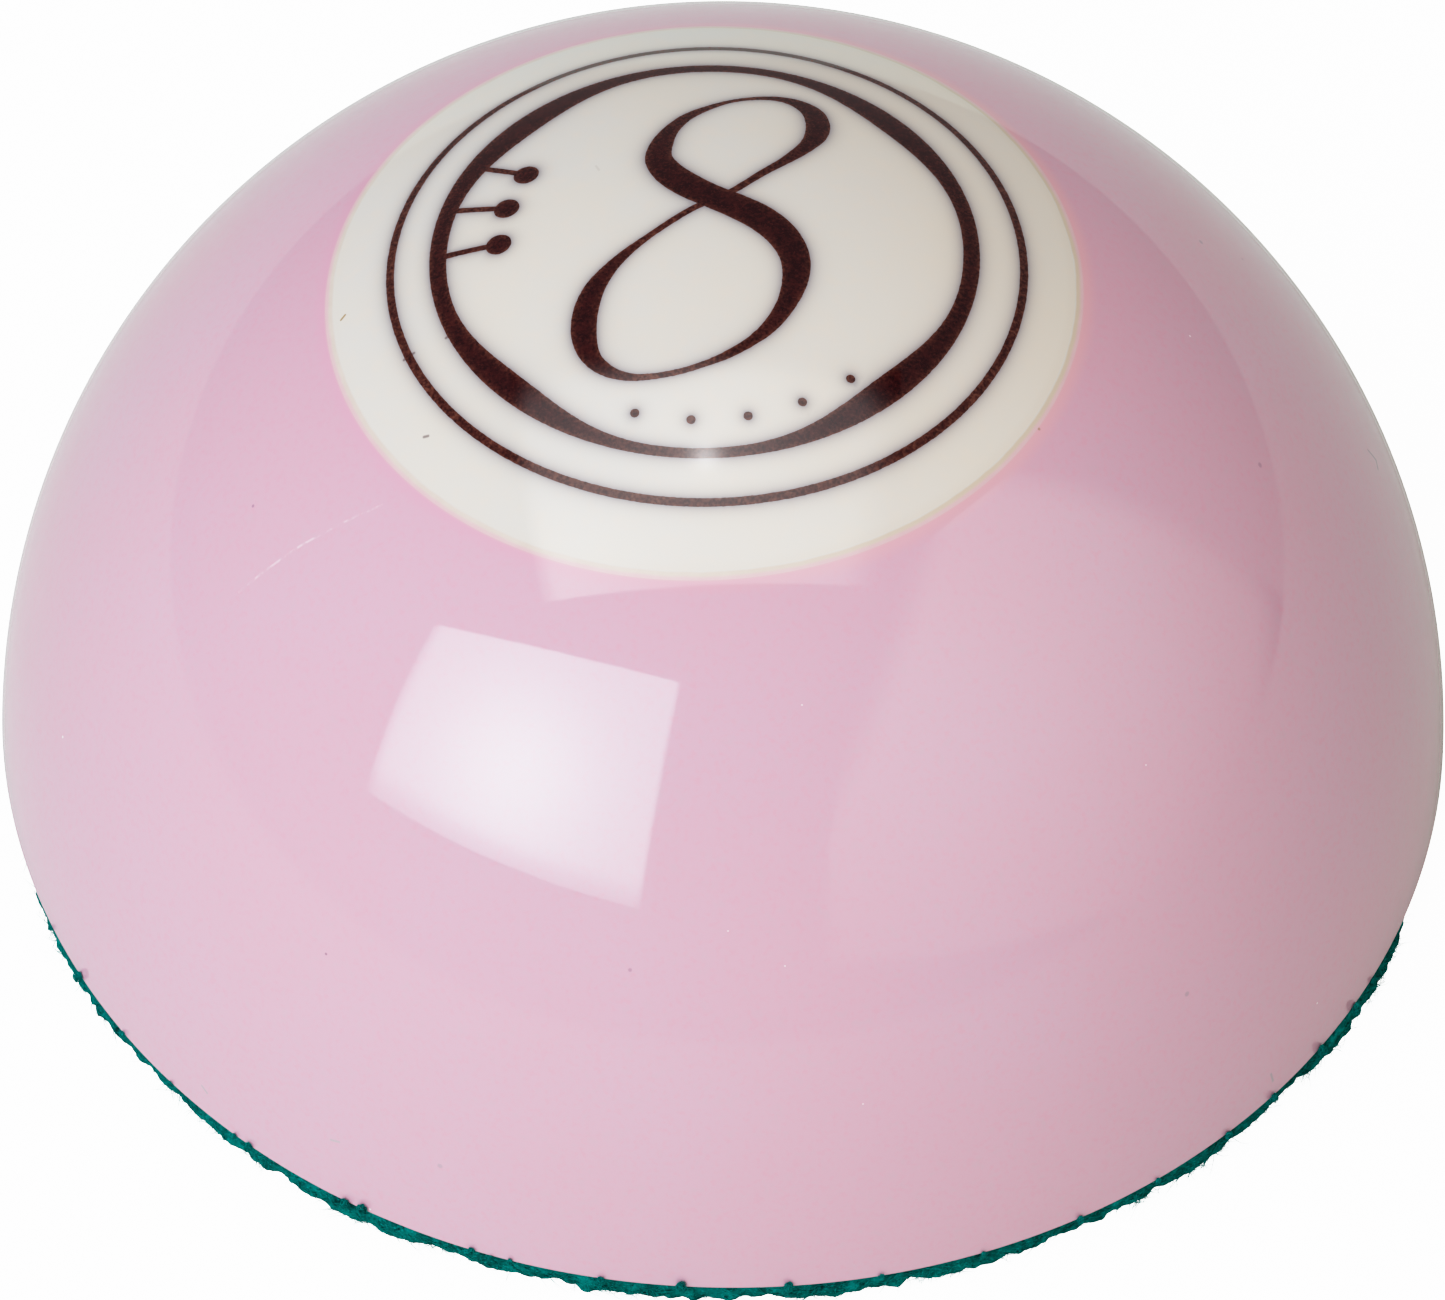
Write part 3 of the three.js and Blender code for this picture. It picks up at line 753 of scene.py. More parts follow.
# -------------------------------------------------------------------- materials
class Nodes:
    """Short hand for building a node tree."""

    def __init__(self, name):
        self.mat = bpy.data.materials.new(name)
        self.mat.use_nodes = True
        self.t = self.mat.node_tree
        self.t.nodes.clear()
        self.out = self.t.nodes.new("ShaderNodeOutputMaterial")

    def link(self, a, b):
        self.t.links.new(a, b)

    def set(self, sock, val):
        if isinstance(val, bpy.types.NodeSocket):
            self.link(val, sock)
        elif val is not None:
            if hasattr(sock.default_value, "__len__") and not hasattr(val, "__len__"):
                val = [val] * len(sock.default_value)
            if hasattr(val, "__len__") and hasattr(sock.default_value, "__len__") and len(val) == 3 and len(sock.default_value) == 4:
                val = tuple(val) + (1.0,)
            sock.default_value = val

    def node(self, kind, **props):
        n = self.t.nodes.new(kind)
        for k, v in props.items():
            setattr(n, k, v)
        return n

    def math(self, op, a, b=None, c=None, clamp=False):
        n = self.node("ShaderNodeMath", operation=op, use_clamp=clamp)
        for i, v in enumerate((a, b, c)):
            if v is not None:
                self.set(n.inputs[i], v)
        return n.outputs[0]

    def vec(self, op, a, b=None, scale=None):
        n = self.node("ShaderNodeVectorMath", operation=op)
        self.set(n.inputs[0], a)
        if b is not None:
            self.set(n.inputs[1], b)
        if scale is not None:
            self.set(n.inputs["Scale"], scale)
        return n.outputs["Value"] if op in ("DOT_PRODUCT", "LENGTH", "DISTANCE") else n.outputs["Vector"]

    def mix(self, fac, a, b, blend="MIX"):
        n = self.node("ShaderNodeMix", data_type="RGBA", blend_type=blend)
        n.clamp_factor = True
        self.set(n.inputs[0], fac)
        self.set(n.inputs[6], a)
        self.set(n.inputs[7], b)
        return n.outputs[2]

    def ramp(self, v, lo, hi, smooth=True, to=(0.0, 1.0)):
        n = self.node("ShaderNodeMapRange", interpolation_type="SMOOTHSTEP" if smooth else "LINEAR")
        self.set(n.inputs[0], v)
        self.set(n.inputs[1], lo); self.set(n.inputs[2], hi)
        self.set(n.inputs[3], to[0]); self.set(n.inputs[4], to[1])
        return n.outputs[0]

    def noise(self, vec, scale, detail=2.0, rough=0.5, dist=0.0):
        n = self.node("ShaderNodeTexNoise")
        self.set(n.inputs["Vector"], vec)
        self.set(n.inputs["Scale"], scale); self.set(n.inputs["Detail"], detail)
        self.set(n.inputs["Roughness"], rough); self.set(n.inputs["Distortion"], dist)
        return n.outputs["Fac"]

    def voronoi(self, vec, scale, feature="F1", rnd=1.0):
        n = self.node("ShaderNodeTexVoronoi", feature=feature)
        self.set(n.inputs["Vector"], vec); self.set(n.inputs["Scale"], scale)
        self.set(n.inputs["Randomness"], rnd)
        return n

    def attr(self, name):
        return self.node("ShaderNodeAttribute", attribute_name=name).outputs["Fac"]

    def coords(self):
        """Object coordinates in millimetres from the ball's centre."""
        g = self.node("ShaderNodeTexCoord").outputs["Object"]
        p = self.vec("SCALE", g, scale=1000.0)
        return self.vec("SUBTRACT", p, tuple(CENTRE))

    def capsule(self, p, a, b, r, soft):
        """1 on a thin mark from a to b (mm, from the ball's centre), 0 away from it."""
        a, b = np.asarray(a, float), np.asarray(b, float)
        ab = b - a
        L2 = float(ab @ ab)
        pa = self.vec("SUBTRACT", p, tuple(a))
        h = self.math("DIVIDE", self.vec("DOT_PRODUCT", pa, tuple(ab)), L2, clamp=True)
        q = self.vec("SUBTRACT", pa, self.vec("SCALE", tuple(ab), scale=h))
        d = self.vec("LENGTH", q)
        return self.ramp(d, r, r + soft, to=(1.0, 0.0))

    def bump(self, height, strength, distance, normal=None):
        n = self.node("ShaderNodeBump")
        n.inputs["Strength"].default_value = strength
        n.inputs["Distance"].default_value = distance
        self.set(n.inputs["Height"], height)
        if normal is not None:
            self.link(normal, n.inputs["Normal"])
        return n.outputs[0]

    def principled(self, **vals):
        n = self.node("ShaderNodeBsdfPrincipled")
        for k, v in vals.items():
            self.set(n.inputs[k.replace("_", " ")], v)
        self.link(n.outputs[0], self.out.inputs[0])
        return n


# camera, fitted once; used to place marks and light cards by direction
F_PX, PCX, PCY = 7173.31, 722.5, 650.0
CAM = np.array([-0.0898, -180.415, 221.593])                 # from the ball's centre
CAM_X = np.array([0.9996434, 0.02053991, 0.01706395])
CAM_Y = np.array([-0.02670329, 0.76891564, 0.63879235])
CAM_Z = np.array([0.0, -0.63902022, 0.76918993])


def ball_point(x, y):
    """Ball surface point (mm from the centre) seen at frame position x, y (1445 x 1300)."""
    d = ((x - PCX) / F_PX) * CAM_X - ((y - PCY) / F_PX) * CAM_Y - CAM_Z
    d /= np.linalg.norm(d)
    b = d @ CAM
    t = -b - math.sqrt(b * b - (CAM @ CAM - R * R))
    return CAM + t * d


def reflected(x, y):
    """Direction a mirror ball would show at frame position x, y."""
    P = ball_point(x, y); n = P / R
    d = P - CAM; d /= np.linalg.norm(d)
    return d - 2 * (d @ n) * n


def polished(n, p, rough=0.035, strength=0.06):
    """Very slight orange peel of a buffed surface, as a normal."""
    h1 = n.noise(p, 1.1, 2.0, 0.5)
    h2 = n.noise(p, 4.5, 2.0, 0.55)
    h = n.math("ADD", n.math("MULTIPLY", h1, 0.7), n.math("MULTIPLY", h2, 0.3))
    return n.bump(h, strength, 0.00001)


PINK = (0.80, 0.385, 0.545)
CREAM = (0.76, 0.73, 0.665)


def mat_pink():
    n = Nodes("pink_phenolic")
    p = n.coords()
    unit = n.vec("NORMALIZE", p)
    ang = n.math("ARCCOSINE", n.vec("DOT_PRODUCT", unit, tuple(pz)))
    from_plug = n.math("SUBTRACT", n.math("MULTIPLY", ang, R), R * math.asin((PLUG_R + BOND_T) / R))  # mm of arc
    # cast resin: cloudy drift, then a fine pink and grey mottle
    cloud = n.noise(p, 0.10, 3.0, 0.5)
    mott = n.noise(p, 4.2, 2.0, 0.6)
    mott2 = n.noise(n.vec("ADD", p, (17.0, 5.0, 9.0)), 2.4, 2.0, 0.6)
    col = n.mix(n.ramp(cloud, 0.35, 0.65), (0.708, 0.430, 0.545), (0.724, 0.421, 0.528))
    col = n.mix(n.math("MULTIPLY", n.ramp(mott, 0.45, 0.75), 0.62), col, (0.752, 0.388, 0.492))
    col = n.mix(n.math("MULTIPLY", n.ramp(mott2, 0.50, 0.8), 0.38), col, (0.645, 0.447, 0.535))
    # painted glow: light from the bond line showing through the first half millimetre of resin, most on the right
    u = n.vec("DOT_PRODUCT", p, tuple(px))
    east = n.ramp(u, -10.0, 13.0)
    painted_glow = n.ramp(from_plug, 0.0, 0.70, to=(1.0, 0.0))
    painted_glow_tint = n.mix(east, (0.775, 0.395, 0.520), (0.860, 0.455, 0.490))
    col = n.mix(n.math("MULTIPLY", painted_glow, 0.80), col, painted_glow_tint)
    # painted glow: a wider, fainter pink halo round the plug, fading over a few millimetres
    painted_glow_wide = n.math("POWER", 2.718, n.math("MULTIPLY", n.math("MAXIMUM", from_plug, 0.0), -0.45))
    col = n.mix(n.math("MULTIPLY", painted_glow_wide, 0.32), col, n.mix(east, (0.745, 0.385, 0.505), (0.790, 0.400, 0.490)))
    lip = n.ramp(from_plug, -0.02, 0.10, to=(1.0, 0.0))
    col = n.mix(n.math("MULTIPLY", lip, 0.45), col, (0.78, 0.50, 0.52))
    # pin-prick white specks and soft dark inclusions
    v = n.voronoi(p, 0.33)
    sep = n.node("ShaderNodeSeparateColor"); n.link(v.outputs["Color"], sep.inputs[0])
    white = n.math("MULTIPLY", n.ramp(v.outputs["Distance"], 0.010, 0.022, to=(1.0, 0.0)),
                   n.math("GREATER_THAN", sep.outputs[0], 0.45))
    v2 = n.voronoi(n.vec("ADD", p, (3.3, 8.1, 1.7)), 0.21)
    sep2 = n.node("ShaderNodeSeparateColor"); n.link(v2.outputs["Color"], sep2.inputs[0])
    size = n.math("MULTIPLY_ADD", sep2.outputs[1], 0.018, 0.010)
    dark = n.math("MULTIPLY",
                  n.math("SUBTRACT", 1.0, n.math("DIVIDE", v2.outputs["Distance"], size), clamp=True),
                  n.math("GREATER_THAN", sep2.outputs[0], 0.50), clamp=True)
    col = n.mix(n.math("MULTIPLY", dark, 0.75), col, (0.33, 0.16, 0.24))
    col = n.mix(n.math("MULTIPLY", white, 0.85), col, (1.0, 0.95, 0.98))
    # specks that sit where they do on this ball
    for x, y, r, tint in ((326, 954, 0.05, (0.36, 0.20, 0.27)), (1201, 242, 0.10, (0.50, 0.34, 0.42)),
                          (440, 1166, 0.10, (0.52, 0.38, 0.46)), (1260, 465, 0.10, (0.52, 0.31, 0.40)),
                          (253, 506, 0.06, (0.42, 0.24, 0.33)), (1187, 994, 0.10, (0.52, 0.36, 0.43)),
                          (630, 970, 0.07, (0.50, 0.29, 0.38)), (1039, 429, 0.06, (0.50, 0.31, 0.24)),
                          (1190, 336, 0.04, (1.0, 0.86, 0.92)), (785, 966, 0.03, (1.0, 0.85, 0.90)),
                          (728, 931, 0.03, (1.0, 0.85, 0.90)), (1146, 765, 0.03, (1.0, 0.85, 0.90)),
                          (802, 705, 0.03, (1.0, 0.88, 0.92)), (863, 1104, 0.03, (1.0, 0.85, 0.90))):
        m = n.ramp(n.vec("DISTANCE", p, tuple(ball_point(x, y))), r * 0.6, r * 1.4, to=(0.85, 0.0))
        col = n.mix(m, col, tint)
    # wear: one long white rub, two short fibre marks
    line = [ball_point(*q) for q in ((239, 592), (262, 573), (300, 546), (340, 524), (382, 505))]
    rub = None
    for a, b, w in zip(line[:-1], line[1:], (0.05, 0.06, 0.05, 0.03)):
        m = n.capsule(p, a, b, w * 0.12, 0.075)
        rub = m if rub is None else n.math("MAXIMUM", rub, m)
    rub = n.math("MULTIPLY", rub, n.ramp(n.noise(p, 2.6, 2.0), 0.38, 0.60, to=(0.05, 1.0)))
    col = n.mix(n.math("MULTIPLY", rub, 0.45), col, (0.930, 0.760, 0.840))
    marks = [((1368, 450), (1376, 460), (0.30, 0.25, 0.29)), ((1376, 460), (1378, 469), (0.30, 0.25, 0.29)),
             ((120, 330), (120.8, 330.5), (0.40, 0.28, 0.20)), ((202, 1086), (207, 1093), (0.45, 0.42, 0.45)),
             ((331, 1140), (339, 1142), (0.50, 0.44, 0.48)), ((1271, 1074), (1273, 1081), (0.45, 0.40, 0.44))]
    for a, b, c in marks:
        m = n.capsule(p, ball_point(*a), ball_point(*b), 0.02, 0.06)
        col = n.mix(n.math("MULTIPLY", m, 0.8), col, c)
    rough = n.math("ADD", 0.035, n.math("MULTIPLY", rub, 0.35))
    rough = n.math("ADD", rough, n.math("MULTIPLY", n.ramp(n.noise(p, 0.5, 3.0), 0.5, 0.8), 0.012))
    n.principled(Base_Color=col, Roughness=rough, IOR=1.5, Normal=polished(n, p))
    return n.mat


def mat_cream():
    n = Nodes("cream_phenolic")
    p = n.coords()
    u = n.vec("DOT_PRODUCT", p, tuple(px)); v = n.vec("DOT_PRODUCT", p, tuple(py))
    rad = n.math("SQRT", n.math("ADD", n.math("MULTIPLY", u, u), n.math("MULTIPLY", v, v)))
    cloud = n.noise(p, 0.16, 3.0, 0.55)
    mott = n.noise(p, 1.7, 2.0, 0.5)
    col = n.mix(n.ramp(cloud, 0.35, 0.68), (0.762, 0.732, 0.684), (0.786, 0.731, 0.652))
    col = n.mix(n.math("MULTIPLY", n.ramp(mott, 0.45, 0.75), 0.4), col, (0.822, 0.732, 0.640))
    # painted warm light: a warmer tint towards the right of the face
    col = n.mix(n.ramp(u, -2.0, 12.0, to=(0.0, 0.45)), col, (0.850, 0.732, 0.610))
    # light lost into the inlays leaves a cool shade round them
    sh = n.attr("ink_shade")
    dist = n.attr("ink_dist")
    near = n.math("POWER", 2.718, n.math("MULTIPLY", dist, -5.9))
    col = n.mix(n.math("MULTIPLY", sh, 0.85, clamp=True), col, (0.30, 0.285, 0.300))
    col = n.mix(n.math("MULTIPLY", near, 0.80), col, (0.275, 0.250, 0.285))
    # painted glow: amber light from the bond line showing in the rim of the plug, stronger to the right
    edge = n.ramp(rad, PLUG_R - 0.40, PLUG_R, to=(0.0, 1.0))
    edge = n.math("MULTIPLY", edge, n.ramp(u, -13.0, 13.0, to=(0.04, 0.38)))
    col = n.mix(edge, col, (0.745, 0.655, 0.565))
    # burrs where the cutter ran off the line, a few specks
    for a, b in (((404, 360), (408, 357)), ((411, 355), (414, 353)), ((446, 338), (450, 335)), ((461, 330), (464, 328)),
                 ((424, 437), (428, 436))):
        m = n.capsule(p, ball_point(*a), ball_point(*b), 0.02, 0.07)
        col = n.mix(n.math("MULTIPLY", m, 0.70), col, (0.12, 0.07, 0.08))
    marks = [((341, 320), (345, 315), (0.34, 0.21, 0.07), 0.85), ((596, 166), (599, 170), (0.5, 0.45, 0.4), 0.3)]
    for a, b, c, k in marks:
        m = n.capsule(p, ball_point(*a), ball_point(*b), 0.02, 0.05)
        col = n.mix(n.math("MULTIPLY", m, k), col, c)
    n.principled(Base_Color=col, Roughness=0.035, IOR=1.5, Normal=polished(n, p))
    return n.mat


def mat_ink():
    n = Nodes("brown_fill")
    p = n.coords()
    a = n.noise(p, 2.4, 3.0, 0.65)
    b = n.noise(n.vec("ADD", p, (4.0, 1.0, 7.0)), 8.0, 2.0, 0.6)
    col = n.mix(n.ramp(a, 0.35, 0.70), (0.028, 0.0050, 0.0072), (0.050, 0.0095, 0.0105))
    col = n.mix(n.math("MULTIPLY", n.ramp(b, 0.50, 0.72), 0.65), col, (0.078, 0.019, 0.017))
    col = n.mix(n.math("MULTIPLY", n.ramp(b, 0.30, 0.45, to=(1.0, 0.0)), 0.6), col, (0.015, 0.0035, 0.0050))
    # the fill thins at its edge and lets some light through
    edge = n.math("POWER", 2.718, n.math("MULTIPLY", n.attr("ink_dist"), -9.5))
    edge = n.math("MULTIPLY", edge, n.ramp(b, 0.35, 0.65, to=(0.25, 1.0)))
    col = n.mix(n.math("MULTIPLY", edge, 0.75), col, (0.180, 0.070, 0.048))
    n.principled(Base_Color=col, Roughness=0.05, IOR=1.5, Normal=polished(n, p, strength=0.12))
    return n.mat


def mat_bond():
    n = Nodes("amber_bond_resin")
    p = n.coords()
    u = n.vec("DOT_PRODUCT", p, tuple(px)); v = n.vec("DOT_PRODUCT", p, tuple(py))
    rad = n.math("SQRT", n.math("ADD", n.math("MULTIPLY", u, u), n.math("MULTIPLY", v, v)))
    a = n.noise(p, 1.2, 3.0, 0.6)
    wob = n.math("MULTIPLY_ADD", n.noise(p, 0.8, 2.0), 0.10, -0.05)
    t = n.math("DIVIDE", n.math("SUBTRACT", n.math("ADD", rad, wob), PLUG_R), BOND_T)
    tan = n.mix(n.ramp(a, 0.35, 0.7), (0.730, 0.620, 0.545), (0.760, 0.655, 0.580))
    rose = n.mix(n.ramp(a, 0.35, 0.7), (0.775, 0.510, 0.545), (0.790, 0.540, 0.565))
    tan = n.mix(n.ramp(u, -4.0, 13.0, to=(0.0, 0.75)), tan, (0.680, 0.545, 0.415))
    col = n.mix(n.ramp(t, 0.0, 0.28), (0.765, 0.715, 0.660), tan)
    col = n.mix(n.ramp(t, 0.40, 0.85), col, rose)
    n.principled(Base_Color=col, Roughness=0.05, IOR=1.5, Normal=polished(n, p))
    return n.mat


def mat_glue():
    n = Nodes("dried_glue")
    p = n.coords()
    a = n.noise(p, 1.4, 4.0, 0.6)
    col = n.mix(n.ramp(a, 0.3, 0.7), (0.50, 0.47, 0.36), (0.66, 0.62, 0.50))
    n.principled(Base_Color=col, Roughness=n.ramp(a, 0.3, 0.7, to=(0.35, 0.6)), IOR=1.45,
                 Normal=n.bump(a, 0.3, 0.00005))
    return n.mat


def mat_felt(name="green_felt_cut", fibre=False):
    n = Nodes(name)
    p = n.coords()
    a = n.noise(p, 1.6, 4.0, 0.65)
    b = n.noise(n.vec("MULTIPLY", p, (1.0, 1.0, 2.2)), 7.0, 3.0, 0.7)
    col = n.mix(n.ramp(a, 0.35, 0.68), (0.0010, 0.105, 0.096), (0.0022, 0.255, 0.236))
    col = n.mix(n.math("MULTIPLY", n.ramp(b, 0.48, 0.72), 0.75), col, (0.0050, 0.420, 0.388))
    # painted shade in the gaps between the fibres
    gap_shade = n.ramp(n.noise(n.vec("MULTIPLY", p, (1.0, 1.0, 1.8)), 3.4, 2.0, 0.6), 0.30, 0.44, to=(1.0, 0.0))
    col = n.mix(n.math("MULTIPLY", gap_shade, 0.7), col, (0.0004, 0.016, 0.015))
    if fibre:
        col = n.mix(0.45, col, (0.0040, 0.380, 0.350))
    h = n.math("ADD", n.math("MULTIPLY", a, 0.4), n.math("MULTIPLY", b, 0.6))
    n.principled(Base_Color=col, Roughness=1.0, IOR=1.3, Normal=n.bump(h, 1.0, 0.00018),
                 Specular_IOR_Level=0.05)
    return n.mat


def paint(ob, mat):
    ob.data.materials.clear()
    ob.data.materials.append(mat)


body = build_body()
bond = build_bond()
plug, inlays = build_plug()
felt = build_felt()
hairs = build_fibres()
film = build_glue()

M_PINK, M_CREAM, M_INK, M_BOND, M_GLUE = mat_pink(), mat_cream(), mat_ink(), mat_bond(), mat_glue()
M_FELT, M_HAIR = mat_felt(), mat_felt("green_felt_fibre", True)
paint(body, M_PINK); paint(bond, M_BOND); paint(plug, M_CREAM)
for ob in inlays:
    paint(ob, M_INK)
paint(felt, M_FELT); paint(hairs, M_HAIR); paint(film, M_GLUE)

CAD_MATS = {"half_ball_body": M_PINK, "plug_bond": M_BOND, "number_plug": M_CREAM,
            "felt_pad": M_FELT, "felt_adhesive": M_GLUE}
for name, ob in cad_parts.items():
    m = CAD_MATS.get(name, M_INK)
    for k in range(max(1, len(ob.material_slots))):
        if k < len(ob.material_slots):
            ob.material_slots[k].material = m
        else:
            ob.data.materials.append(m)

# ------------------------------------------------------------------------ stage
scene = bpy.context.scene
MID = Vector((0, 0, CZ * MM))


def card(name, dirs, dist, paint_fn, light=True, glossy=True):
    """A flat light panel whose corners lie in the given directions from the ball."""
    D = [np.asarray(d, float) / np.linalg.norm(d) for d in dirs]
    mean = sum(D); mean /= np.linalg.norm(mean)
    P = [d * (dist / (d @ mean)) for d in D]
    me = bpy.data.meshes.new(name)
    me.from_pydata([tuple(p + np.array(MID)) for p in P], [], [tuple(range(len(P)))])
    me.update()
    # face the ball
    nrm = np.array(me.polygons[0].normal)
    if nrm @ mean > 0:
        me.flip_normals()
    ob = bpy.data.objects.new(name, me)
    scene.collection.objects.link(ob)
    ob.visible_camera = False
    ob.visible_shadow = False
    ob.visible_diffuse = light
    ob.visible_glossy = glossy
    n = Nodes(name)
    em = n.node("ShaderNodeEmission")
    paint_fn(n, em, mean, dist)
    n.link(em.outputs[0], n.out.inputs[0])
    n.mat.cycles.emission_sampling = "NONE"
    me.materials.append(n.mat)
    return ob


def ray_dir(n):
    """Direction from the ball's centre to the shaded point."""
    g = n.node("ShaderNodeNewGeometry").outputs["Position"]
    return n.vec("NORMALIZE", n.vec("SUBTRACT", g, tuple(MID)))


def lobe(n, d, axis, width, kind="gauss"):
    """Falloff about an axis: 1 on it, width in radians."""
    a = n.math("ARCCOSINE", n.vec("DOT_PRODUCT", d, tuple(np.asarray(axis) / np.linalg.norm(axis))))
    t = n.math("DIVIDE", a, width)
    if kind == "gauss":
        t = n.math("MULTIPLY", t, t)
    return n.math("POWER", 2.718, n.math("MULTIPLY", t, -1.0))


def from_edge(n, d, q0, q1, inner, wide, low):
    """Fades a panel from low at the edge q0-q1 to 1 at a distance of wide (sine of the angle)."""
    k = np.cross(reflected(*q0), reflected(*q1)); k /= np.linalg.norm(k)
    if k @ reflected(*inner) < 0:
        k = -k
    return n.ramp(n.vec("DOT_PRODUCT", d, tuple(k)), 0.0, wide, to=(low, 1.0))


def key_paint(gain, tint):
    def paint_it(n, em, mean, dist):
        d = ray_dir(n)
        g = lobe(n, d, reflected(514, 768), 0.23)
        s = n.math("MULTIPLY_ADD", g, 12.4 * gain, 9.4 * gain)
        s = n.math("MULTIPLY", s, from_edge(n, d, (640, 908), (368, 790), (520, 760), 0.09, 0.45))
        s = n.math("MULTIPLY", s, from_edge(n, d, (437, 625), (368, 790), (520, 760), 0.035, 0.50))
        s = n.math("MULTIPLY", s, from_edge(n, d, (681, 683), (640, 908), (520, 760), 0.015, 0.50))
        n.set(em.inputs["Strength"], s)
        n.set(em.inputs["Color"], tint)
    return paint_it


def top_paint(gain, tint):
    def paint_it(n, em, mean, dist):
        d = ray_dir(n)
        s = n.math("MULTIPLY_ADD", lobe(n, d, reflected(704, 456), 0.175, "exp"), 4.0, 1.6)
        s = n.math("MULTIPLY_ADD", lobe(n, d, reflected(705, 458), 0.033), 9.0, s)
        s = n.math("MULTIPLY_ADD", lobe(n, d, reflected(560, 575), 0.24), 2.6, s)
        s = n.math("MULTIPLY_ADD", lobe(n, d, reflected(800, 575), 0.26), 0.5, s)
        s = n.math("MULTIPLY", s, from_edge(n, d, (512, 366), (700, 346), (700, 450), 0.10, 0.35))
        s = n.math("MULTIPLY", s, from_edge(n, d, (700, 346), (900, 372), (700, 450), 0.10, 0.35))
        s = n.math("MULTIPLY", s, from_edge(n, d, (872, 588), (900, 372), (700, 450), 0.10, 0.30))
        s = n.math("MULTIPLY", s, from_edge(n, d, (545, 603), (512, 366), (700, 450), 0.05, 0.35))
        n.set(em.inputs["Strength"], n.math("MULTIPLY", s, gain))
        n.set(em.inputs["Color"], tint)
    return paint_it


def side_paint(gain, tint):
    def paint_it(n, em, mean, dist):
        d = ray_dir(n)
        ang = n.math("ARCCOSINE", n.vec("DOT_PRODUCT", d, tuple(reflected(950, 590))))
        s = n.ramp(ang, 0.15, 1.5, to=(2.2 * gain, 0.55 * gain))
        s = n.math("MULTIPLY", s, from_edge(n, d, (1012, 473), (1285, 602), (1000, 700), 0.08, 0.55))
        s = n.math("MULTIPLY", s, from_edge(n, d, (908, 556), (845, 735), (1000, 700), 0.10, 0.25))
        s = n.math("MULTIPLY", s, from_edge(n, d, (1285, 602), (1262, 800), (1000, 700), 0.15, 0.10))
        n.set(em.inputs["Strength"], s)
        n.set(em.inputs["Color"], tint)
    return paint_it


KEY = [reflected(*q) for q in ((437, 625), (681, 683), (640, 908), (368, 790))]
TOP = [reflected(*q) for q in ((545, 603), (872, 588), (900, 372), (700, 346), (512, 366))]
SIDE = [reflected(*q) for q in ((1012, 473), (1285, 602), (1262, 800), (828, 960), (828, 845), (845, 735), (908, 556))]
# panels the gloss shows; the light itself comes from the sky lobes below
card("stage_key_panel", KEY, 2.6, key_paint(1.0, (0.775, 0.965, 1.06)), light=False)
card("stage_top_panel", TOP, 2.6, top_paint(1.48, (1.0, 1.0, 1.0)), light=False)
card("stage_side_panel", SIDE, 2.8, side_paint(1.25, (1.0, 0.97, 0.95)), light=False)

# the dim room, as the gloss shows it
me = bpy.data.meshes.new("stage_room_shell")
V, F = [], []
for i in range(25):
    for j in range(9):
        az, el = 2 * math.pi * i / 24, math.radians(90 * j / 8)
        V.append((20 * math.cos(el) * math.sin(az), 20 * math.cos(el) * math.cos(az), 20 * math.sin(el)))
for i in range(24):
    for j in range(8):
        k = i * 9 + j
        F.append((k, k + 9, k + 10, k + 1))
me.from_pydata(V, [], F)
me.update()
shell = bpy.data.objects.new("stage_room_shell", me)
scene.collection.objects.link(shell)
shell.visible_camera = shell.visible_diffuse = shell.visible_shadow = False
shell.visible_transmission = shell.visible_volume_scatter = False
n = Nodes("stage_room_shell")
em = n.node("ShaderNodeEmission")
up = n.math("ARCSINE", n.vec("DOT_PRODUCT", ray_dir(n), (0.0, 0.0, 1.0)))
east = n.math("MULTIPLY_ADD", n.vec("DOT_PRODUCT", ray_dir(n), (1.0, 0.0, 0.0)), 0.16, 1.06)
n.set(em.inputs["Strength"], n.math("MULTIPLY", east, n.ramp(up, 0.0, math.radians(45), to=(0.69, 0.44))))
n.set(em.inputs["Color"], (1.0, 0.97, 0.96))
n.link(em.outputs[0], n.out.inputs[0])
n.mat.cycles.emission_sampling = "NONE"
me.materials.append(n.mat)

# floor: pale and plain. The camera sees it near white, the ball sees it as lit.
me = bpy.data.meshes.new("floor")
S = 30.0
me.from_pydata([(-S, -S, 0), (S, -S, 0), (S, S, 0), (-S, S, 0)], [], [(0, 1, 2, 3)])
me.update()
floor = bpy.data.objects.new("floor", me)
scene.collection.objects.link(floor)
n = Nodes("pale_floor")
lp = n.node("ShaderNodeLightPath")
dif = n.node("ShaderNodeBsdfDiffuse")
n.set(dif.inputs["Color"], n.mix(lp.outputs["Is Glossy Ray"], (0.66, 0.68, 0.62), (0.79, 0.85, 0.81)))
dif2 = n.node("ShaderNodeBsdfDiffuse"); n.set(dif2.inputs["Color"], (0.97, 0.97, 0.97))
em = n.node("ShaderNodeEmission"); n.set(em.inputs["Color"], (1, 1, 1)); n.set(em.inputs["Strength"], 3.4)
add = n.node("ShaderNodeAddShader"); n.link(dif2.outputs[0], add.inputs[0]); n.link(em.outputs[0], add.inputs[1])
mx = n.node("ShaderNodeMixShader")
n.link(lp.outputs["Is Camera Ray"], mx.inputs[0]); n.link(dif.outputs[0], mx.inputs[1]); n.link(add.outputs[0], mx.inputs[2])
n.link(mx.outputs[0], n.out.inputs[0])
me.materials.append(n.mat)

# soft fill: broad lobes from the front left and overhead; white to the camera
world = bpy.data.worlds.new("room"); scene.world = world
world.use_nodes = True
world.cycles_visibility.glossy = False
t = world.node_tree; t.nodes.clear()
wo = t.nodes.new("ShaderNodeOutputWorld")
lp = t.nodes.new("ShaderNodeLightPath")
gen = t.nodes.new("ShaderNodeTexCoord").outputs["Generated"]


def heading(az, el):
    a, e = math.radians(az), math.radians(el)
    return (math.cos(e) * math.sin(a), math.cos(e) * math.cos(a), math.sin(e))


